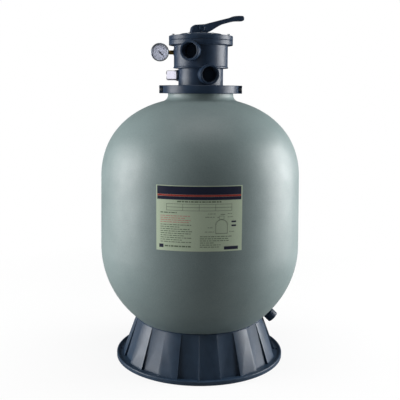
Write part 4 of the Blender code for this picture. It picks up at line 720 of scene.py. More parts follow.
class OBJECT_OT_filter_label(bpy.types.Operator):
    """Film label wrapped on the front of the tank, printed with plain bars and lines"""
    bl_idname = "object.filter_label"
    bl_label = "Label"

    def execute(self, context):
        sheet = wrap(label_patch("label_film", 0.0, 0.0, 1.0, 1.0), 0.35 * MM, 0.3 * MM)
        finish_piece(sheet, "root", "label", "label", "tank_label")
        for ink, bars in label_bars().items():
            patches = []
            for left, top, right, bottom in bars:
                spot = (max(left, PRINT_INSET), max(top, PRINT_INSET), min(right, 1 - PRINT_INSET), bottom)
                patches.append(label_patch(f"{ink}_patch", *spot))
            print_layer = wrap(joined(f"label_{ink}", patches), 0.56 * MM, 0.05 * MM)
            finish_piece(print_layer, "root", "label", ink)
        return {"FINISHED"}


# ---------------------------------------------------------------- stand

FLUTES = 24
SKIRT_FOOT_RADIUS = 244.0 * MM
SKIRT_TOP_RADIUS = 200.0 * MM
FLUTE_STEP_FOOT = 8.0 * MM
FLUTE_STEP_TOP = 1.5 * MM
FOOT_THICKNESS = 7.0 * MM
BEAD_TOP = 12.0 * MM
FIXING_CIRCLE = 249.0 * MM


def azimuth_of(place):
    """Angle of a place from the front towards the right, in degrees."""
    return math.degrees(math.atan2(place.x, -place.y)) % 360


def set_back(place):
    """True on every second flute, which is moulded set back from its neighbours."""
    return int(azimuth_of(place) / (360 / FLUTES)) % 2 == 1


class OBJECT_OT_filter_stand(bpy.types.Operator):
    """Flared skirt with flat flutes on a beaded foot flange"""
    bl_idname = "object.filter_stand"
    bl_label = "Stand"

    def execute(self, context):
        top = high("base_stand").z
        foot_radius = high("base_stand").x
        clear_selection()
        bottom = FOOT_THICKNESS - 2 * MM
        bpy.ops.mesh.primitive_cylinder_add(vertices=FLUTES, radius=SKIRT_FOOT_RADIUS, depth=top - bottom,
                                            end_fill_type="NOTHING", location=(0, 0, (top + bottom) / 2))
        skirt = bpy.context.object
        skirt.name = "stand_skin"
        hold_place()
        edit(skirt)
        flare = SKIRT_TOP_RADIUS / SKIRT_FOOT_RADIUS
        pick_points(skirt, lambda place: place.z > top - MM)
        bpy.ops.transform.resize(value=(flare, flare, 1), center_override=(0, 0, 0))
        pick_faces(skirt, lambda centre, normal: set_back(centre))
        bpy.ops.mesh.extrude_faces_move(TRANSFORM_OT_shrink_fatten={"value": -FLUTE_STEP_TOP})
        lean = (SKIRT_FOOT_RADIUS - FLUTE_STEP_FOOT) / (SKIRT_FOOT_RADIUS - FLUTE_STEP_TOP)
        inside = SKIRT_FOOT_RADIUS - FLUTE_STEP_TOP / 2
        pick_points(skirt, lambda place: place.z < bottom + 3 * MM and place.xy.length < inside)
        bpy.ops.transform.resize(value=(lean, lean, 1), center_override=(0, 0, 0))
        leave()
        self.flatten_rims(skirt, bottom, top)
        apply(skirt, "SOLIDIFY", thickness=5 * MM, offset=-1.0, use_even_offset=True)
        round_edges(skirt, 1.1 * MM, 3, 20.0)
        below = rod("below", foot_radius, -10 * MM, 3 * MM)
        boolean(skirt, below, "DIFFERENCE")
        boolean(skirt, self.flange(foot_radius), "UNION")
        for quarter in range(4):
            hole = rod("hole", 4 * MM, -5 * MM, 20 * MM)
            place_by(hole, about_z(90 * quarter) @ move_by(FIXING_CIRCLE, 0, 0))
            boolean(skirt, hole, "DIFFERENCE")
        smooth(skirt, 30.0)
        finish_piece(skirt, "root", "stand", "stand", "base_stand")
        return {"FINISHED"}

    def flatten_rims(self, skirt, bottom, top):
        """Brings the ends of the set-back flutes level with their neighbours."""
        edit(skirt)
        for level, near in ((bottom, lambda place: place.z < (bottom + top) / 2),
                            (top, lambda place: place.z > (bottom + top) / 2)):
            pick_points(skirt, near)
            bpy.ops.transform.resize(value=(1, 1, 0), center_override=(0, 0, level))
        bpy.ops.mesh.select_all(action="SELECT")
        bpy.ops.mesh.remove_doubles(threshold=0.01 * MM)
        bpy.ops.mesh.dissolve_degenerate(threshold=0.01 * MM)
        leave()

    def flange(self, foot_radius):
        """Foot flange with a raised bead round its rim and a channel inside the bead."""
        inner = SKIRT_FOOT_RADIUS - FLUTE_STEP_FOOT - 5 * MM
        bead = 2.4 * MM
        outline = [(inner, 0), (foot_radius, 0), (foot_radius, BEAD_TOP - bead)]
        outline += arc((foot_radius - bead, BEAD_TOP - bead), bead, 0, 90, 6)
        outline += arc((foot_radius - 2 * bead, BEAD_TOP - bead), bead, 90, 180, 6)
        outline += [(foot_radius - 4.4 * bead, FOOT_THICKNESS), (inner, FOOT_THICKNESS), (inner, 0)]
        return turned("flange", outline, ROUND_STEPS)


# ---------------------------------------------------------------- clamp

class OBJECT_OT_filter_clamp(bpy.types.Operator):
    """Two moulded half rings with bolted lugs"""
    bl_idname = "object.filter_clamp"
    bl_label = "Clamp"

    def execute(self, context):
        bottom, top = low("clamp_front").z, high("clamp_front").z
        reach = high("clamp_front").x
        groove, neck, throat = 107.2 * MM, 99.8 * MM, 80.5 * MM
        lip, edge, outside = 2.4 * MM, 2.2 * MM, 115.0 * MM
        outline = [(neck, bottom), (outside - edge, bottom)]
        outline += arc((outside - edge, bottom + edge), edge, -90, 0, 5)
        outline += arc((outside - edge, top - edge), edge, 0, 90, 5)
        outline += [(throat + 14 * MM, top), (throat + 13 * MM, top - 1.2 * MM), (throat, top - 1.2 * MM),
                    (throat, top - lip - 1.2 * MM), (groove, top - lip - 1.2 * MM), (groove, bottom + lip),
                    (neck, bottom + lip), (neck, bottom)]
        ring = turned("clamp_ring", outline, ROUND_STEPS)
        lug_depth, wall = 17.0 * MM, 4.0 * MM
        for side in (-1, 1):
            near, far = sorted((side * 108 * MM, side * reach))
            lug = box("lug", (near, -lug_depth, bottom), (far, lug_depth, top))
            round_edges(lug, 1.6 * MM)
            boolean(ring, lug, "UNION")
            near, far = sorted((side * 112 * MM, side * (reach + 3 * MM)))
            for face in (-1, 1):
                front, back = sorted((face * 9 * MM, face * (lug_depth + 3 * MM)))
                pocket = box("pocket", (near, front, bottom + wall), (far, back, top - wall))
                round_edges(pocket, 1.0 * MM, 2)
                boolean(ring, pocket, "DIFFERENCE")
        for body_side, name, normal in ((-1, "clamp_front", 1), (1, "clamp_rear", -1)):
            half = copied(ring, f"{name}_skin", Matrix.Identity(4))
            edit(half)
            bpy.ops.mesh.select_all(action="SELECT")
            bpy.ops.mesh.bisect(plane_co=(0, body_side * MM, 0), plane_no=(0, normal, 0), use_fill=True,
                                clear_outer=True)
            leave()
            smooth(half, 40.0)
            finish_piece(half, "root", "valve", "valve", name)
        bpy.data.objects.remove(ring)
        self.bolts()
        return {"FINISHED"}

    def bolts(self):
        """Hexagon bolt and nut across each pair of lugs."""
        for side in ("left", "right"):
            node = f"clamp_bolt_{side}"
            spot = middle(node)
            length = high(node).y - low(node).y
            along = move_by(spot.x, low(node).y, spot.z) @ turn_by(-90, "X")
            head = place_by(hex_head("bolt_head", 5.4 * MM, 4.2 * MM), along)
            shank = place_by(threaded_rod("shank", 2.9 * MM, 4 * MM, length), along)
            bolt = joined(f"{node}_finished", [head, shank])
            finish_piece(bolt, "root", "stainless", "stainless", node)
            nut_node = f"clamp_nut_{side}"
            nut = hex_head("nut", 5.4 * MM, 4.4 * MM)
            hole = rod("hole", 3.1 * MM, -MM, 6 * MM)
            boolean(nut, hole, "DIFFERENCE")
            place_by(nut, move_by(spot.x, low(nut_node).y, spot.z) @ turn_by(-90, "X"))
            finish_piece(nut, "root", "stainless", "stainless", nut_node)


def hex_head(name, radius, height):
    """Hexagon head along Z from its outer face at zero, chamfered as a real one is."""
    head = rod(name, radius, 0, height, 6)
    face, corner = radius * 0.80, radius * 1.04
    chamfer = turned("chamfer", [(0, -MM), (face, -MM), (face, 0), (corner, 0.8 * MM),
                                 (corner, height + MM), (0, height + MM)], SMALL_STEPS)
    boolean(head, chamfer, "INTERSECT")
    return round_edges(head, 0.25 * MM, 2)


def threaded_rod(name, radius, start, end, pitch=1.25 * MM):
    """Rod along Z with thread ridges."""
    count = int((end - start) / pitch)
    outline = [(0, start)]
    for i in range(count):
        outline += [(radius - 0.35 * MM, start + pitch * i), (radius, start + pitch * (i + 0.5))]
    outline += [(radius - 0.35 * MM, end), (0, end)]
    return turned(name, outline, 24)


# ---------------------------------------------------------------- valve

PUMP_PORT = (-20.0, 944.3 * MM, 98.0 * MM)
RETURN_PORT = (17.0, 877.0 * MM, 91.0 * MM)
WASTE_PORT = (197.0, 877.0 * MM, 91.0 * MM)
PORTS = (PUMP_PORT, RETURN_PORT, WASTE_PORT)
GAUGE_Z = 943.0 * MM
SIGHT_Z = 875.0 * MM
CHAMBER_RADIUS = 74.5 * MM
THREAD_PITCH = 2.2 * MM
THREAD_DEPTH = 1.0 * MM
THREAD_RUN = 9


class OBJECT_OT_filter_valve_body(bpy.types.Operator):
    """Two-stage valve body with threaded ports, a gauge boss and a sight glass boss"""
    bl_idname = "object.filter_valve_body"
    bl_label = "Valve body"

    def execute(self, context):
        sizes = context.scene.filter_valve
        top = high("valve_body").z
        body = turned("valve_body_skin", self.outline(sizes, top), ROUND_STEPS)
        for azimuth, height, reach in PORTS:
            collar = self.collar(sizes.port_radius, reach)
            place_by(collar, outwards(azimuth, height))
            boolean(body, collar, "UNION")
        for radius, reach, height in ((9.5 * MM, 82.5 * MM, GAUGE_Z), (17.0 * MM, 72.0 * MM, SIGHT_Z)):
            edge = 0.8 * MM
            boss = turned("boss", [(0, 40 * MM), (radius, 40 * MM), (radius, reach - edge),
                                   (radius - edge, reach), (0, reach)], SMALL_STEPS * 2)
            place_by(boss, outwards(-90, height))
            boolean(body, boss, "UNION")
        for azimuth, height, reach in PORTS:
            bore = self.threaded_bore(sizes.port_bore, reach)
            place_by(bore, outwards(azimuth, height))
            boolean(body, bore, "DIFFERENCE")
        smooth(body, 38.0)
        finish_piece(body, "root", "valve", "valve", "valve_body")
        return {"FINISHED"}

    def outline(self, sizes, top):
        """Flange in the clamp, flared lower body, stepped upper body and the cover's flange."""
        flange, flange_top = low("tank_o_ring").z + 0.7 * MM, 841.5 * MM
        lower, upper, rim = sizes.lower_radius, sizes.upper_radius, COVER_RADIUS
        step, lip, small = 896.0 * MM, 82.6 * MM, 1.2 * MM
        shelf = 963.5 * MM
        points = [(0, flange), (LIP_RADIUS, flange), (LIP_RADIUS, flange_top), (lower + 4.5 * MM, flange_top)]
        points += arc((lower + 4.5 * MM + 3 * MM, flange_top + 7.5 * MM), 7.5 * MM, 250, 180, 6)[3:]
        points += [(lower, flange_top + 9 * MM), (lower, step - 3 * MM)]
        points += arc((lower + 3 * MM, step - 3 * MM), 3 * MM, 180, 90, 5)
        points += arc((lip - small, step + small), small, -90, 0, 4)
        points += [(lip, step + 3 * MM), (upper + 0.4 * MM, step + 4.6 * MM), (upper, step + 6 * MM)]
        points += [(upper, shelf - 3 * MM)]
        points += arc((upper + 3 * MM, shelf - 3 * MM), 3 * MM, 180, 90, 5)
        points += arc((rim - small, shelf + small), small, -90, 0, 4)
        points += arc((rim - small, top - small), small, 0, 90, 4)
        points += [(CHAMBER_RADIUS, top), (CHAMBER_RADIUS, 912 * MM), (0, 912 * MM)]
        return points

    def collar(self, radius, reach):
        """Port collar along Z with a reinforced rim."""
        rim, edge = radius, 1.4 * MM
        waist = radius - 1.2 * MM
        outline = [(0, 45 * MM), (waist, 45 * MM), (waist, reach - 9 * MM), (rim, reach - 8 * MM)]
        outline += [(rim, reach - edge)]
        outline += arc((rim - edge, reach - edge), edge, 0, 90, 5)
        outline += [(0, reach)]
        return turned("collar", outline, PART_STEPS)

    def threaded_bore(self, radius, reach):
        """Cutter along Z that leaves thread ridges in a bore."""
        start = reach - THREAD_PITCH * THREAD_RUN
        outline = [(0, 62 * MM), (radius - 2.5 * MM, 62 * MM), (radius - 2.5 * MM, start)]
        for i in range(THREAD_RUN):
            z = start + THREAD_PITCH * i
            outline += [(radius - THREAD_DEPTH, z), (radius, z + THREAD_PITCH / 2)]
        outline += [(radius - THREAD_DEPTH / 2, reach - 0.2 * MM), (radius + 0.8 * MM, reach + 0.5 * MM),
                    (radius + 0.8 * MM, reach + 6 * MM), (0, reach + 6 * MM)]
        return turned("bore", outline, PART_STEPS)


class OBJECT_OT_filter_cover(bpy.types.Operator):
    """Valve cover with ribs, screws and a numbered plate"""
    bl_idname = "object.filter_cover"
    bl_label = "Cover"

    def execute(self, context):
        bottom, top = 977.3 * MM, high("valve_cover").z
        ledge, rim, small = 990.5 * MM, COVER_RADIUS, 1.2 * MM
        bore, crown, shoulder = 9.0 * MM, 60.0 * MM, 76.0 * MM
        outline = [(bore, bottom - 2 * MM), (14 * MM, bottom - 2 * MM), (14 * MM, top - 6 * MM),
                   (57 * MM, top - 6 * MM), (66 * MM, ledge - 5 * MM), (70 * MM, bottom)]
        outline += [(rim - small, bottom)]
        outline += arc((rim - small, bottom + small), small, -90, 0, 3)
        outline += arc((rim - small, ledge - small), small, 0, 90, 4)
        outline += [(shoulder + MM, ledge), (shoulder, ledge + 0.6 * MM)]
        outline += [(crown + 2 * MM, top - 0.9 * MM), (crown, top), (bore + MM, top), (bore, top - MM),
                    (bore, bottom - 2 * MM)]
        cover = turned("valve_cover_skin", outline, ROUND_STEPS)
        for number in range(8):
            rib = box("rib", (50 * MM, -1.4 * MM, ledge - 2 * MM), (82 * MM, 1.4 * MM, top - 0.2 * MM))
            edit(rib)
            pick_points(rib, lambda place: place.z > ledge and place.x > 70 * MM)
            bpy.ops.transform.translate(value=(0, 0, ledge + 1.2 * MM - top))
            leave()
            round_edges(rib, 0.5 * MM, 2)
            place_by(rib, about_z(45 * number))
            boolean(cover, rib, "UNION")
        smooth(cover, 38.0)
        finish_piece(cover, "root", "valve", "valve", "valve_cover")
        self.screws()
        self.plate()
        return {"FINISHED"}

    def screws(self):
        """Flanged hexagon screws round the cover."""
        first = low("cover_screw_1").z
        head_low = 990.8 * MM
        for number in range(1, 9):
            node = f"cover_screw_{number}"
            spot = middle(node)
            head = hex_head("head", 4.3 * MM, 3.2 * MM)
            washer = turned("washer", [(0, 2.9 * MM), (4.7 * MM, 2.9 * MM), (5.0 * MM, 3.3 * MM),
                                       (5.0 * MM, 4.0 * MM), (0, 4.0 * MM)], SMALL_STEPS)
            flip = move_by(spot.x, spot.y, head_low + 4 * MM) @ Matrix.Rotation(math.pi, 4, "X")
            place_by(head, flip)
            place_by(washer, flip)
            shank = threaded_rod("shank", 2.2 * MM, first, head_low + 0.5 * MM)
            place_by(shank, move_by(spot.x, spot.y, 0))
            screw = joined(f"{node}_finished", [head, washer, shank])
            finish_piece(screw, "root", "stainless", "stainless", node)

    def plate(self):
        """Ring plate with six plain numbers and the lines between them."""
        bottom, top = low("position_plate").z, high("position_plate").z
        inner, outer = 30 * MM, 50 * MM
        plate = turned("position_plate_finished", [(inner, bottom), (outer, bottom), (outer, top - 0.2 * MM),
                       (outer - 0.2 * MM, top), (inner, top), (inner, bottom)], PART_STEPS)
        finish_piece(plate, "root", "position_plate", "position_plate", "position_plate")
        marks = []
        for number in range(6):
            turn = turn_by(60 * number)
            line = box("line", (inner + MM, -0.3 * MM, top - 0.05 * MM),
                       (outer - MM, 0.3 * MM, top + 0.15 * MM))
            marks.append(place_by(line, turn))
            middle_turn = turn_by(60 * number + 30)
            spot = middle_turn @ move_by(40 * MM, 0, top) @ turn_by(-90)
            marks.append(figure(str(number + 1), 10 * MM, spot))
        marked = joined("position_plate_marks", marks)
        finish_piece(marked, "root", "position_plate", "pointer")


def figure(text, size, matrix):
    """A plain number as a thin mesh, centred, facing along Z of its matrix."""
    clear_selection()
    bpy.ops.object.text_add(location=(0, 0, 0))
    made = bpy.context.object
    made.data.body = text
    made.data.size = size
    made.data.extrude = 0.08 * MM
    made.data.resolution_u = 3
    made.data.align_x = "CENTER"
    made.data.align_y = "CENTER"
    bpy.ops.object.convert(target="MESH")
    made = bpy.context.object
    edit(made)
    tidy_shell()
    return place_by(made, matrix)


# ---------------------------------------------------------------- handle

HANDLE_AZIMUTH = 12.0


def through(points, steps):
    """A smooth line through given points, ends included."""
    line = []
    padded = [points[0], *points, points[-1]]
    for a, b, c, d in zip(padded, padded[1:], padded[2:], padded[3:]):
        for i in range(steps):
            t = i / steps
            line.append(tuple(0.5 * (2 * q + (r - p) * t + (2 * p - 5 * q + 4 * r - s) * t * t
                                     + (3 * q - p - 3 * r + s) * t ** 3) for p, q, r, s in zip(a, b, c, d)))
    return line + [points[-1]]


class OBJECT_OT_filter_handle(bpy.types.Operator):
    """Moulded lever with a cam foot, a swept arm and a rounded grip"""
    bl_idname = "object.filter_handle"
    bl_label = "Handle"

    def execute(self, context):
        foot = low("handle").z - middle("handle_pin").z
        arm_under = [(24, -10.4), (33, -5.2), (43, 1.2), (60, 10.6), (77, 16.4), (102, 22.6), (125, 23.8)]
        grip = [(129.5, 25.6), (131, 29.8), (129.5, 35.4), (125, 38.4)]
        arm_over = [(108, 38.0), (94, 35.6), (87, 32.4), (60, 25.2), (34, 18.2), (9, 11.2)]
        outline = [(-32.5 * MM, foot + 2.6 * MM), (-22 * MM, foot), (10.5 * MM, foot)]
        outline += [(12 * MM, foot + 0.8 * MM), (18 * MM, foot + 2.8 * MM)]
        outline += [(x * MM, z * MM) for x, z in through(arm_under + grip + arm_over, 4)]
        outline += [(-12 * MM, 9.4 * MM), (-22.5 * MM, 8.6 * MM), (-29 * MM, 2.2 * MM)]
        width, grip_width = 32.0 * MM, 24.0 * MM
        lever = cut_out("handle_skin", outline, width)
        edit(lever)
        pick_points(lever, lambda place: place.x > 22 * MM)
        bpy.ops.transform.resize(value=(1, grip_width / width, 1), center_override=(0, 0, 0))
        leave()
        round_edges(lever, 2.6 * MM, 4, 35.0)
        slot = box("slot", (-10.5 * MM, -9 * MM, foot - 4 * MM), (15.2 * MM, 9 * MM, 7.7 * MM))
        round_edges(slot, MM, 2)
        boolean(lever, slot, "DIFFERENCE")
        for side in (-1, 1):
            pad = turned("pad", [(0, 0), (9.2 * MM, 0), (9.0 * MM, 1.8 * MM), (8.2 * MM, 2.5 * MM),
                                 (3.4 * MM, 2.5 * MM), (3.2 * MM, 1.6 * MM), (0, 1.6 * MM)], SMALL_STEPS)
            lift = width / 2 - 0.5 * MM
            turn = turn_by(-90 * side, "X")
            place_by(pad, move_by(0, side * lift, 0) @ turn)
            boolean(lever, pad, "UNION")
        smooth(lever, 38.0)
        turn = turn_by(HANDLE_AZIMUTH)
        place_by(lever, move_by(0, 0, middle("handle_pin").z) @ turn)
        finish_piece(lever, "handle", "valve", "valve", "handle")
        return {"FINISHED"}


# ---------------------------------------------------------------- gauge

GAUGE_SWEEP = 270.0
GAUGE_ZERO = -47.0


class OBJECT_OT_filter_gauge(bpy.types.Operator):
    """Pressure gauge with a pressed case, a marked dial, a pointer and a brass stem"""
    bl_idname = "object.filter_gauge"
    bl_label = "Gauge"

    def execute(self, context):
        centre = middle("gauge_case")
        self.to_front = Matrix.Translation(centre) @ turn_by(90, "X")
        self.case()
        self.dial(centre.y - low("gauge_dial").y)
        self.pointer(centre)
        self.stem()
        return {"FINISHED"}

    def case(self):
        half, radius, wall = 11 * MM, 26.2 * MM, 1.5 * MM
        outline = [(0, -half), (radius - 3 * MM, -half)]
        outline += arc((radius - 3 * MM, -half + 3 * MM), 3 * MM, -90, 0, 5)
        outline += [(radius, half), (radius - wall, half)]
        outline += [(radius - wall, -half + 3 * MM), (0, -half + 3 * MM)]
        case = turned("gauge_case_finished", outline, PART_STEPS)
        place_by(case, self.to_front)
        finish_piece(case, "root", "gauge_steel", "gauge_steel", "gauge_case")
        face, ring, hole, seat = 13.1 * MM, 27.2 * MM, 23.4 * MM, radius + 0.2 * MM
        outline = [(seat, face - 4 * MM), (ring, face - 4 * MM), (ring, face - 0.4 * MM)]
        outline += arc((ring - 1.5 * MM, face - 0.4 * MM), 1.5 * MM, 0, 90, 5)
        outline += [(ring - 2.6 * MM, face + 1.0 * MM), (hole, face + 0.2 * MM), (hole, face - 0.1 * MM),
                    (seat, face - 0.1 * MM), (seat, face - 4 * MM)]
        bezel = turned("gauge_bezel_finished", outline, PART_STEPS)
        place_by(bezel, self.to_front)
        finish_piece(bezel, "root", "gauge_steel", "gauge_steel", "gauge_bezel")
        lens = turned("gauge_lens_finished", [(0, 11.3 * MM), (24.6 * MM, 11.3 * MM), (24.6 * MM, 12.4 * MM),
                                              (23 * MM, 12.8 * MM), (0, 12.8 * MM)], PART_STEPS)
        place_by(lens, self.to_front)
        finish_piece(lens, "root", "clear", "clear", "gauge_lens")

    def dial(self, front):
        """White dial with plain marks and numbers; its scale runs clockwise from the rest place."""
        thin, inner, outer = 0.6 * MM, 1.3 * MM, 23.8 * MM
        dial = turned("gauge_dial_finished", [(inner, front - thin), (outer, front - thin), (outer, front),
                                              (inner, front), (inner, front - thin)], PART_STEPS)
        place_by(dial, self.to_front)
        finish_piece(dial, "root", "dial", "dial", "gauge_dial")
        marks = []
        for step in range(31):
            angle = math.radians(GAUGE_ZERO - GAUGE_SWEEP * step / 30)
            long_mark = step % 5 == 0
            inner = 17.6 * MM if long_mark else 19.2 * MM
            half = 0.32 * MM if long_mark else 0.17 * MM
            mark = box("mark", (inner, -half, front - 0.02 * MM), (21.2 * MM, half, front + 0.12 * MM))
            marks.append(place_by(mark, self.to_front @ Matrix.Rotation(angle, 4, "Z")))
            if long_mark:
                spot = Matrix.Rotation(angle, 4, "Z") @ Vector((14.2 * MM, 0, front))
                marks.append(figure(str(step * 2), 4.4 * MM, self.to_front @ Matrix.Translation(spot)))
        marked = joined("gauge_dial_marks", marks)
        finish_piece(marked, "root", "dial", "pointer")

    def pointer(self, centre):
        """Tapered needle with a hub cap, lying on its rest place."""
        level = centre.y - low("gauge_pointer").y - 0.6 * MM
        outline = [(-6, -1.2), (-5.4, -1.6), (-1, -1.1), (1, -1.1), (16.0, -0.5), (17, 0)]
        outline += [(x, -z) for x, z in outline[-2::-1]]
        needle = cut_out("needle", [(x * MM, z * MM) for x, z in outline], 0.5 * MM)
        settle(needle, (math.radians(90), 0, 0))
        settle(needle, (0, 0, 0), (0, 0, level))
        shaft, cap = 1.0 * MM, 2.6 * MM
        hub = turned("hub", [(0, level - 1.6 * MM), (shaft, level - 1.6 * MM), (shaft, level - 0.4 * MM),
                             (cap, level - 0.4 * MM), (cap, level + 0.3 * MM), (2.0 * MM, level + 0.6 * MM),
                             (0, level + 0.6 * MM)], SMALL_STEPS)
        boolean(needle, hub, "UNION")
        needle.name = "gauge_pointer_finished"
        smooth(needle)
        place_by(needle, self.to_front @ turn_by(GAUGE_ZERO))
        finish_piece(needle, "pointer", "pointer", "pointer", "gauge_pointer")

    def stem(self):
        """Hexagon with chamfered ends between the boss and the case, and its thread."""
        start, end = -high("gauge_stem").x, -low("gauge_stem").x
        collar, boss = -(middle("gauge_case").x + 27.4 * MM), 82.8 * MM
        hexagon = rod("gauge_stem_finished", 7.0 * MM, boss, collar, 6)
        round_edges(hexagon, 0.5 * MM, 2)
        parts = [threaded_rod("thread", 6.2 * MM, start, boss + 0.5 * MM, 1.4 * MM),
                 turned("neck", [(0, collar - MM), (4.4 * MM, collar - MM), (4.4 * MM, end), (0, end)],
                        SMALL_STEPS)]
        for part in parts:
            boolean(hexagon, part, "UNION")
        smooth(hexagon)
        place_by(hexagon, outwards(-90, middle("gauge_stem").z))
        finish_piece(hexagon, "root", "brass", "brass", "gauge_stem")


class OBJECT_OT_filter_sight_glass(bpy.types.Operator):
    """Clear sight glass with a flange and a domed end"""
    bl_idname = "object.filter_sight_glass"
    bl_label = "Sight glass"

    def execute(self, context):
        start, end = -high("sight_glass").x, -low("sight_glass").x
        radius, wall, round_end = 16 * MM, 2.2 * MM, 5 * MM
        outline = [(radius - wall - MM, start), (radius, start), (radius, start + 3 * MM),
                   (radius - MM, start + 3.6 * MM)]
        outline += arc((radius - MM - round_end, end - round_end), round_end, 0, 90, 6)
        outline += [(0, end), (0, end - wall)]
        outline += arc((radius - MM - round_end, end - round_end), round_end - wall, 90, 0, 4)
        outline += [(radius - wall - MM, start)]
        glass = turned("sight_glass_finished", outline, PART_STEPS)
        place_by(glass, outwards(-90, middle("sight_glass").z))
        finish_piece(glass, "root", "clear", "clear", "sight_glass")
        return {"FINISHED"}


# ---------------------------------------------------------------- drain

DRAIN_RADIUS = 209.7 * MM
DRAIN_TILT = 45.0
DRAIN_BORE = 11.6 * MM


def drain_matrix():
    """Turns a piece modelled along Z to the drain's line, with zero at the shell."""
    share = DRAIN_RADIUS / TANK_RADIUS
    height = BOTTOM_DOME_Z - BOTTOM_DOME_DEPTH * math.sqrt(1 - share ** 2)
    return (move_by(DRAIN_RADIUS, 0, height)
            @ turn_by(90 + DRAIN_TILT, "Y"))


class OBJECT_OT_filter_drain(bpy.types.Operator):
    """Drain cap with grip ribs, over its threaded spigot"""
    bl_idname = "object.filter_drain"
    bl_label = "Drain"

    def execute(self, context):
        start, end, radius = 14.5 * MM, 36.5 * MM, 18.5 * MM
        cap = rod("drain_cap_finished", radius - 1.0 * MM, start, end, 48)
        edit(cap)
        pick_faces(cap, lambda centre, normal: abs(normal.z) < 0.5
                   and int(math.degrees(math.atan2(centre.y, centre.x)) % 360 / 7.5) % 2 == 0)
        bpy.ops.mesh.extrude_faces_move(TRANSFORM_OT_shrink_fatten={"value": 0.95 * MM})
        leave()
        round_edges(cap, 0.35 * MM, 2, 40.0)
        hollow = rod("hollow", DRAIN_BORE, start - MM, end - 2.5 * MM)
        boolean(cap, hollow, "DIFFERENCE")
        floor = end - 0.8 * MM
        dish = turned("dish", [(0, floor), (13 * MM, floor), (14 * MM, end + MM), (0, end + MM)])
        boolean(cap, dish, "DIFFERENCE")
        smooth(cap, 35.0)
        place_by(cap, drain_matrix())
        finish_piece(cap, "drain_cap", "valve", "valve", "drain_cap")
        return {"FINISHED"}


# ---------------------------------------------------------------- pieces kept from the frame

class OBJECT_OT_filter_kept_nodes(bpy.types.Operator):
    """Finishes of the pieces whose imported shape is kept"""
    bl_idname = "object.filter_kept_nodes"
    bl_label = "Kept pieces"

    def execute(self, context):
        for row in frame["record"]["subparts"]:
            coat(bpy.data.objects[row["node"]], row["material_slot"])
        return {"FINISHED"}


# ---------------------------------------------------------------- stage

CAMERA_BACK = 2.05
CAMERA_HEIGHT = 0.832
CAMERA_TIP = 9.37
CAMERA_ROLL = 0.33
LAMPS = (("left", (-2.3, -0.2, 0.85), (0, 0, 0.4), 1.6, 1.7),
         ("right", (2.27, 0.3, 0.85), (0, 0, 0.4), 1.6, 1.7),
         ("top", (0, -0.3, 3.0), (0, 0, 0.6), 1.8, 1.8),
         ("front", (-0.6, -3.2, 1.9), (0, 0, 0.6), 1.2, 1.2))


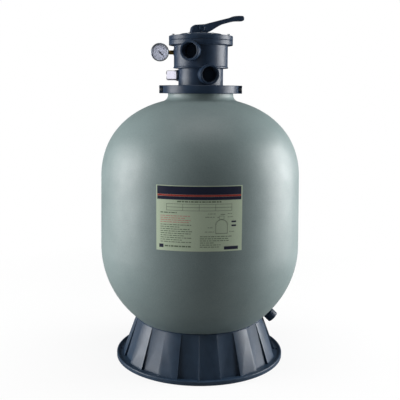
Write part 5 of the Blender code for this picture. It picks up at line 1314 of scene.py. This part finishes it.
class OBJECT_OT_filter_stage(bpy.types.Operator):
    """Pale floor, soft lamps and the camera"""
    bl_idname = "object.filter_stage"
    bl_label = "Stage"

    def execute(self, context):
        stage = context.scene.filter_stage
        self.camera(stage.lens)
        self.floor()
        self.world()
        for side, place, target, width, height in LAMPS:
            self.lamp(f"{side}_softbox", place, target, width, height, getattr(stage, f"{side}_light"))
        view = context.scene.view_settings
        view.view_transform = "Standard"
        return {"FINISHED"}

    def camera(self, lens):
        """Looks along +Y from in front, tipped down, with a slight roll."""
        data = bpy.data.cameras.new("camera")
        data.lens = lens
        data.sensor_width = 36.0
        camera = bpy.data.objects.new("camera", data)
        bpy.context.scene.collection.objects.link(camera)
        camera.matrix_world = (move_by(0, -CAMERA_BACK, CAMERA_HEIGHT) @ turn_by(90 - CAMERA_TIP, "X")
                               @ turn_by(CAMERA_ROLL))
        bpy.context.scene.camera = camera

    def floor(self):
        """Floor that is white to the camera, keeps a soft shadow, and is mid grey to all other rays."""
        clear_selection()
        bpy.ops.mesh.primitive_plane_add(size=30, location=(0, 0, -0.5 * MM))
        floor = bpy.context.object
        floor.name = "floor"
        skin, tree, shader = new_material("floor_painted_white", roughness=0.9)
        rays = add_node(tree, "ShaderNodeLightPath")
        seen = rays.outputs["Is Camera Ray"]
        tree.links.new(mix(tree, seen, linear("#848484"), linear("#f2f2f2")), shader.inputs["Base Color"])
        white = add_node(tree, "ShaderNodeEmission", {"Strength": 1.0})
        reach = add_node(tree, "ShaderNodeVectorMath", {"operation": "LENGTH"}, {0: coordinates(tree)})
        fade = add_node(tree, "ShaderNodeMapRange",
                        {"From Min": 0.4, "From Max": 1.6, "To Min": 0.86, "To Max": 1.0},
                        {"Value": reach.outputs["Value"]})
        share = add_node(tree, "ShaderNodeMath", {"operation": "MULTIPLY"}, {0: fade.outputs[0], 1: seen})
        blend = add_node(tree, "ShaderNodeMixShader", {}, {0: share.outputs[0], 1: shader.outputs[0],
                                                            2: white.outputs[0]})
        output = tree.nodes["Material Output"]
        tree.links.new(blend.outputs[0], output.inputs["Surface"])
        floor.data.materials.append(skin)

    def world(self):
        """Soft grey light all round, which gloss mirrors; the camera and clear pieces see white."""
        world = bpy.data.worlds.new("studio")
        bpy.context.scene.world = world
        world.use_nodes = True
        tree = world.node_tree
        tree.nodes.clear()
        soft = add_node(tree, "ShaderNodeBackground", {"Color": (0.95, 0.97, 1.0, 1.0), "Strength": 0.06})
        white = add_node(tree, "ShaderNodeBackground", {"Color": (1.0, 1.0, 1.0, 1.0), "Strength": 1.0})
        rays = add_node(tree, "ShaderNodeLightPath")
        first = add_node(tree, "ShaderNodeMath", {"operation": "MAXIMUM"},
                         {0: rays.outputs["Is Camera Ray"], 1: rays.outputs["Is Transmission Ray"]})
        blend = add_node(tree, "ShaderNodeMixShader", {}, {0: first.outputs[0], 1: soft.outputs[0],
                                                            2: white.outputs[0]})
        output = add_node(tree, "ShaderNodeOutputWorld")
        tree.links.new(blend.outputs[0], output.inputs["Surface"])

    def lamp(self, name, place, target, width, height, power):
        data = bpy.data.lights.new(name, "AREA")
        data.shape = "RECTANGLE"
        data.size = width
        data.size_y = height
        data.energy = power
        lamp = bpy.data.objects.new(name, data)
        lamp.location = place
        lamp.rotation_euler = (Vector(target) - Vector(place)).to_track_quat("-Z", "Y").to_euler()
        bpy.context.scene.collection.objects.link(lamp)


# ---------------------------------------------------------------- panel and run

STEPS = (OBJECT_OT_filter_kept_nodes, OBJECT_OT_filter_tank, OBJECT_OT_filter_label, OBJECT_OT_filter_stand,
         OBJECT_OT_filter_clamp, OBJECT_OT_filter_valve_body, OBJECT_OT_filter_cover, OBJECT_OT_filter_handle,
         OBJECT_OT_filter_gauge, OBJECT_OT_filter_sight_glass, OBJECT_OT_filter_drain, OBJECT_OT_filter_stage)


class VIEW3D_PT_sand_filter(bpy.types.Panel):
    """Lists the operators that make the filter"""
    bl_label = "Sand Filter"
    bl_space_type = "VIEW_3D"
    bl_region_type = "UI"
    bl_category = "Sand Filter"

    def draw(self, context):
        for step in STEPS:
            self.layout.operator(step.bl_idname, text=step.bl_label)


CLASSES = (TankSettings, ValveSettings, StageSettings, *STEPS, VIEW3D_PT_sand_filter)


def register():
    for item in CLASSES:
        bpy.utils.register_class(item)
    bpy.types.Scene.filter_tank = bpy.props.PointerProperty(type=TankSettings)
    bpy.types.Scene.filter_valve = bpy.props.PointerProperty(type=ValveSettings)
    bpy.types.Scene.filter_stage = bpy.props.PointerProperty(type=StageSettings)


def unregister():
    del bpy.types.Scene.filter_stage
    del bpy.types.Scene.filter_valve
    del bpy.types.Scene.filter_tank
    for item in reversed(CLASSES):
        bpy.utils.unregister_class(item)


def main():
    register()
    for step in STEPS:
        group, call = step.bl_idname.split(".")
        getattr(getattr(bpy.ops, group), call)()


if __name__ == "__main__":
    main()
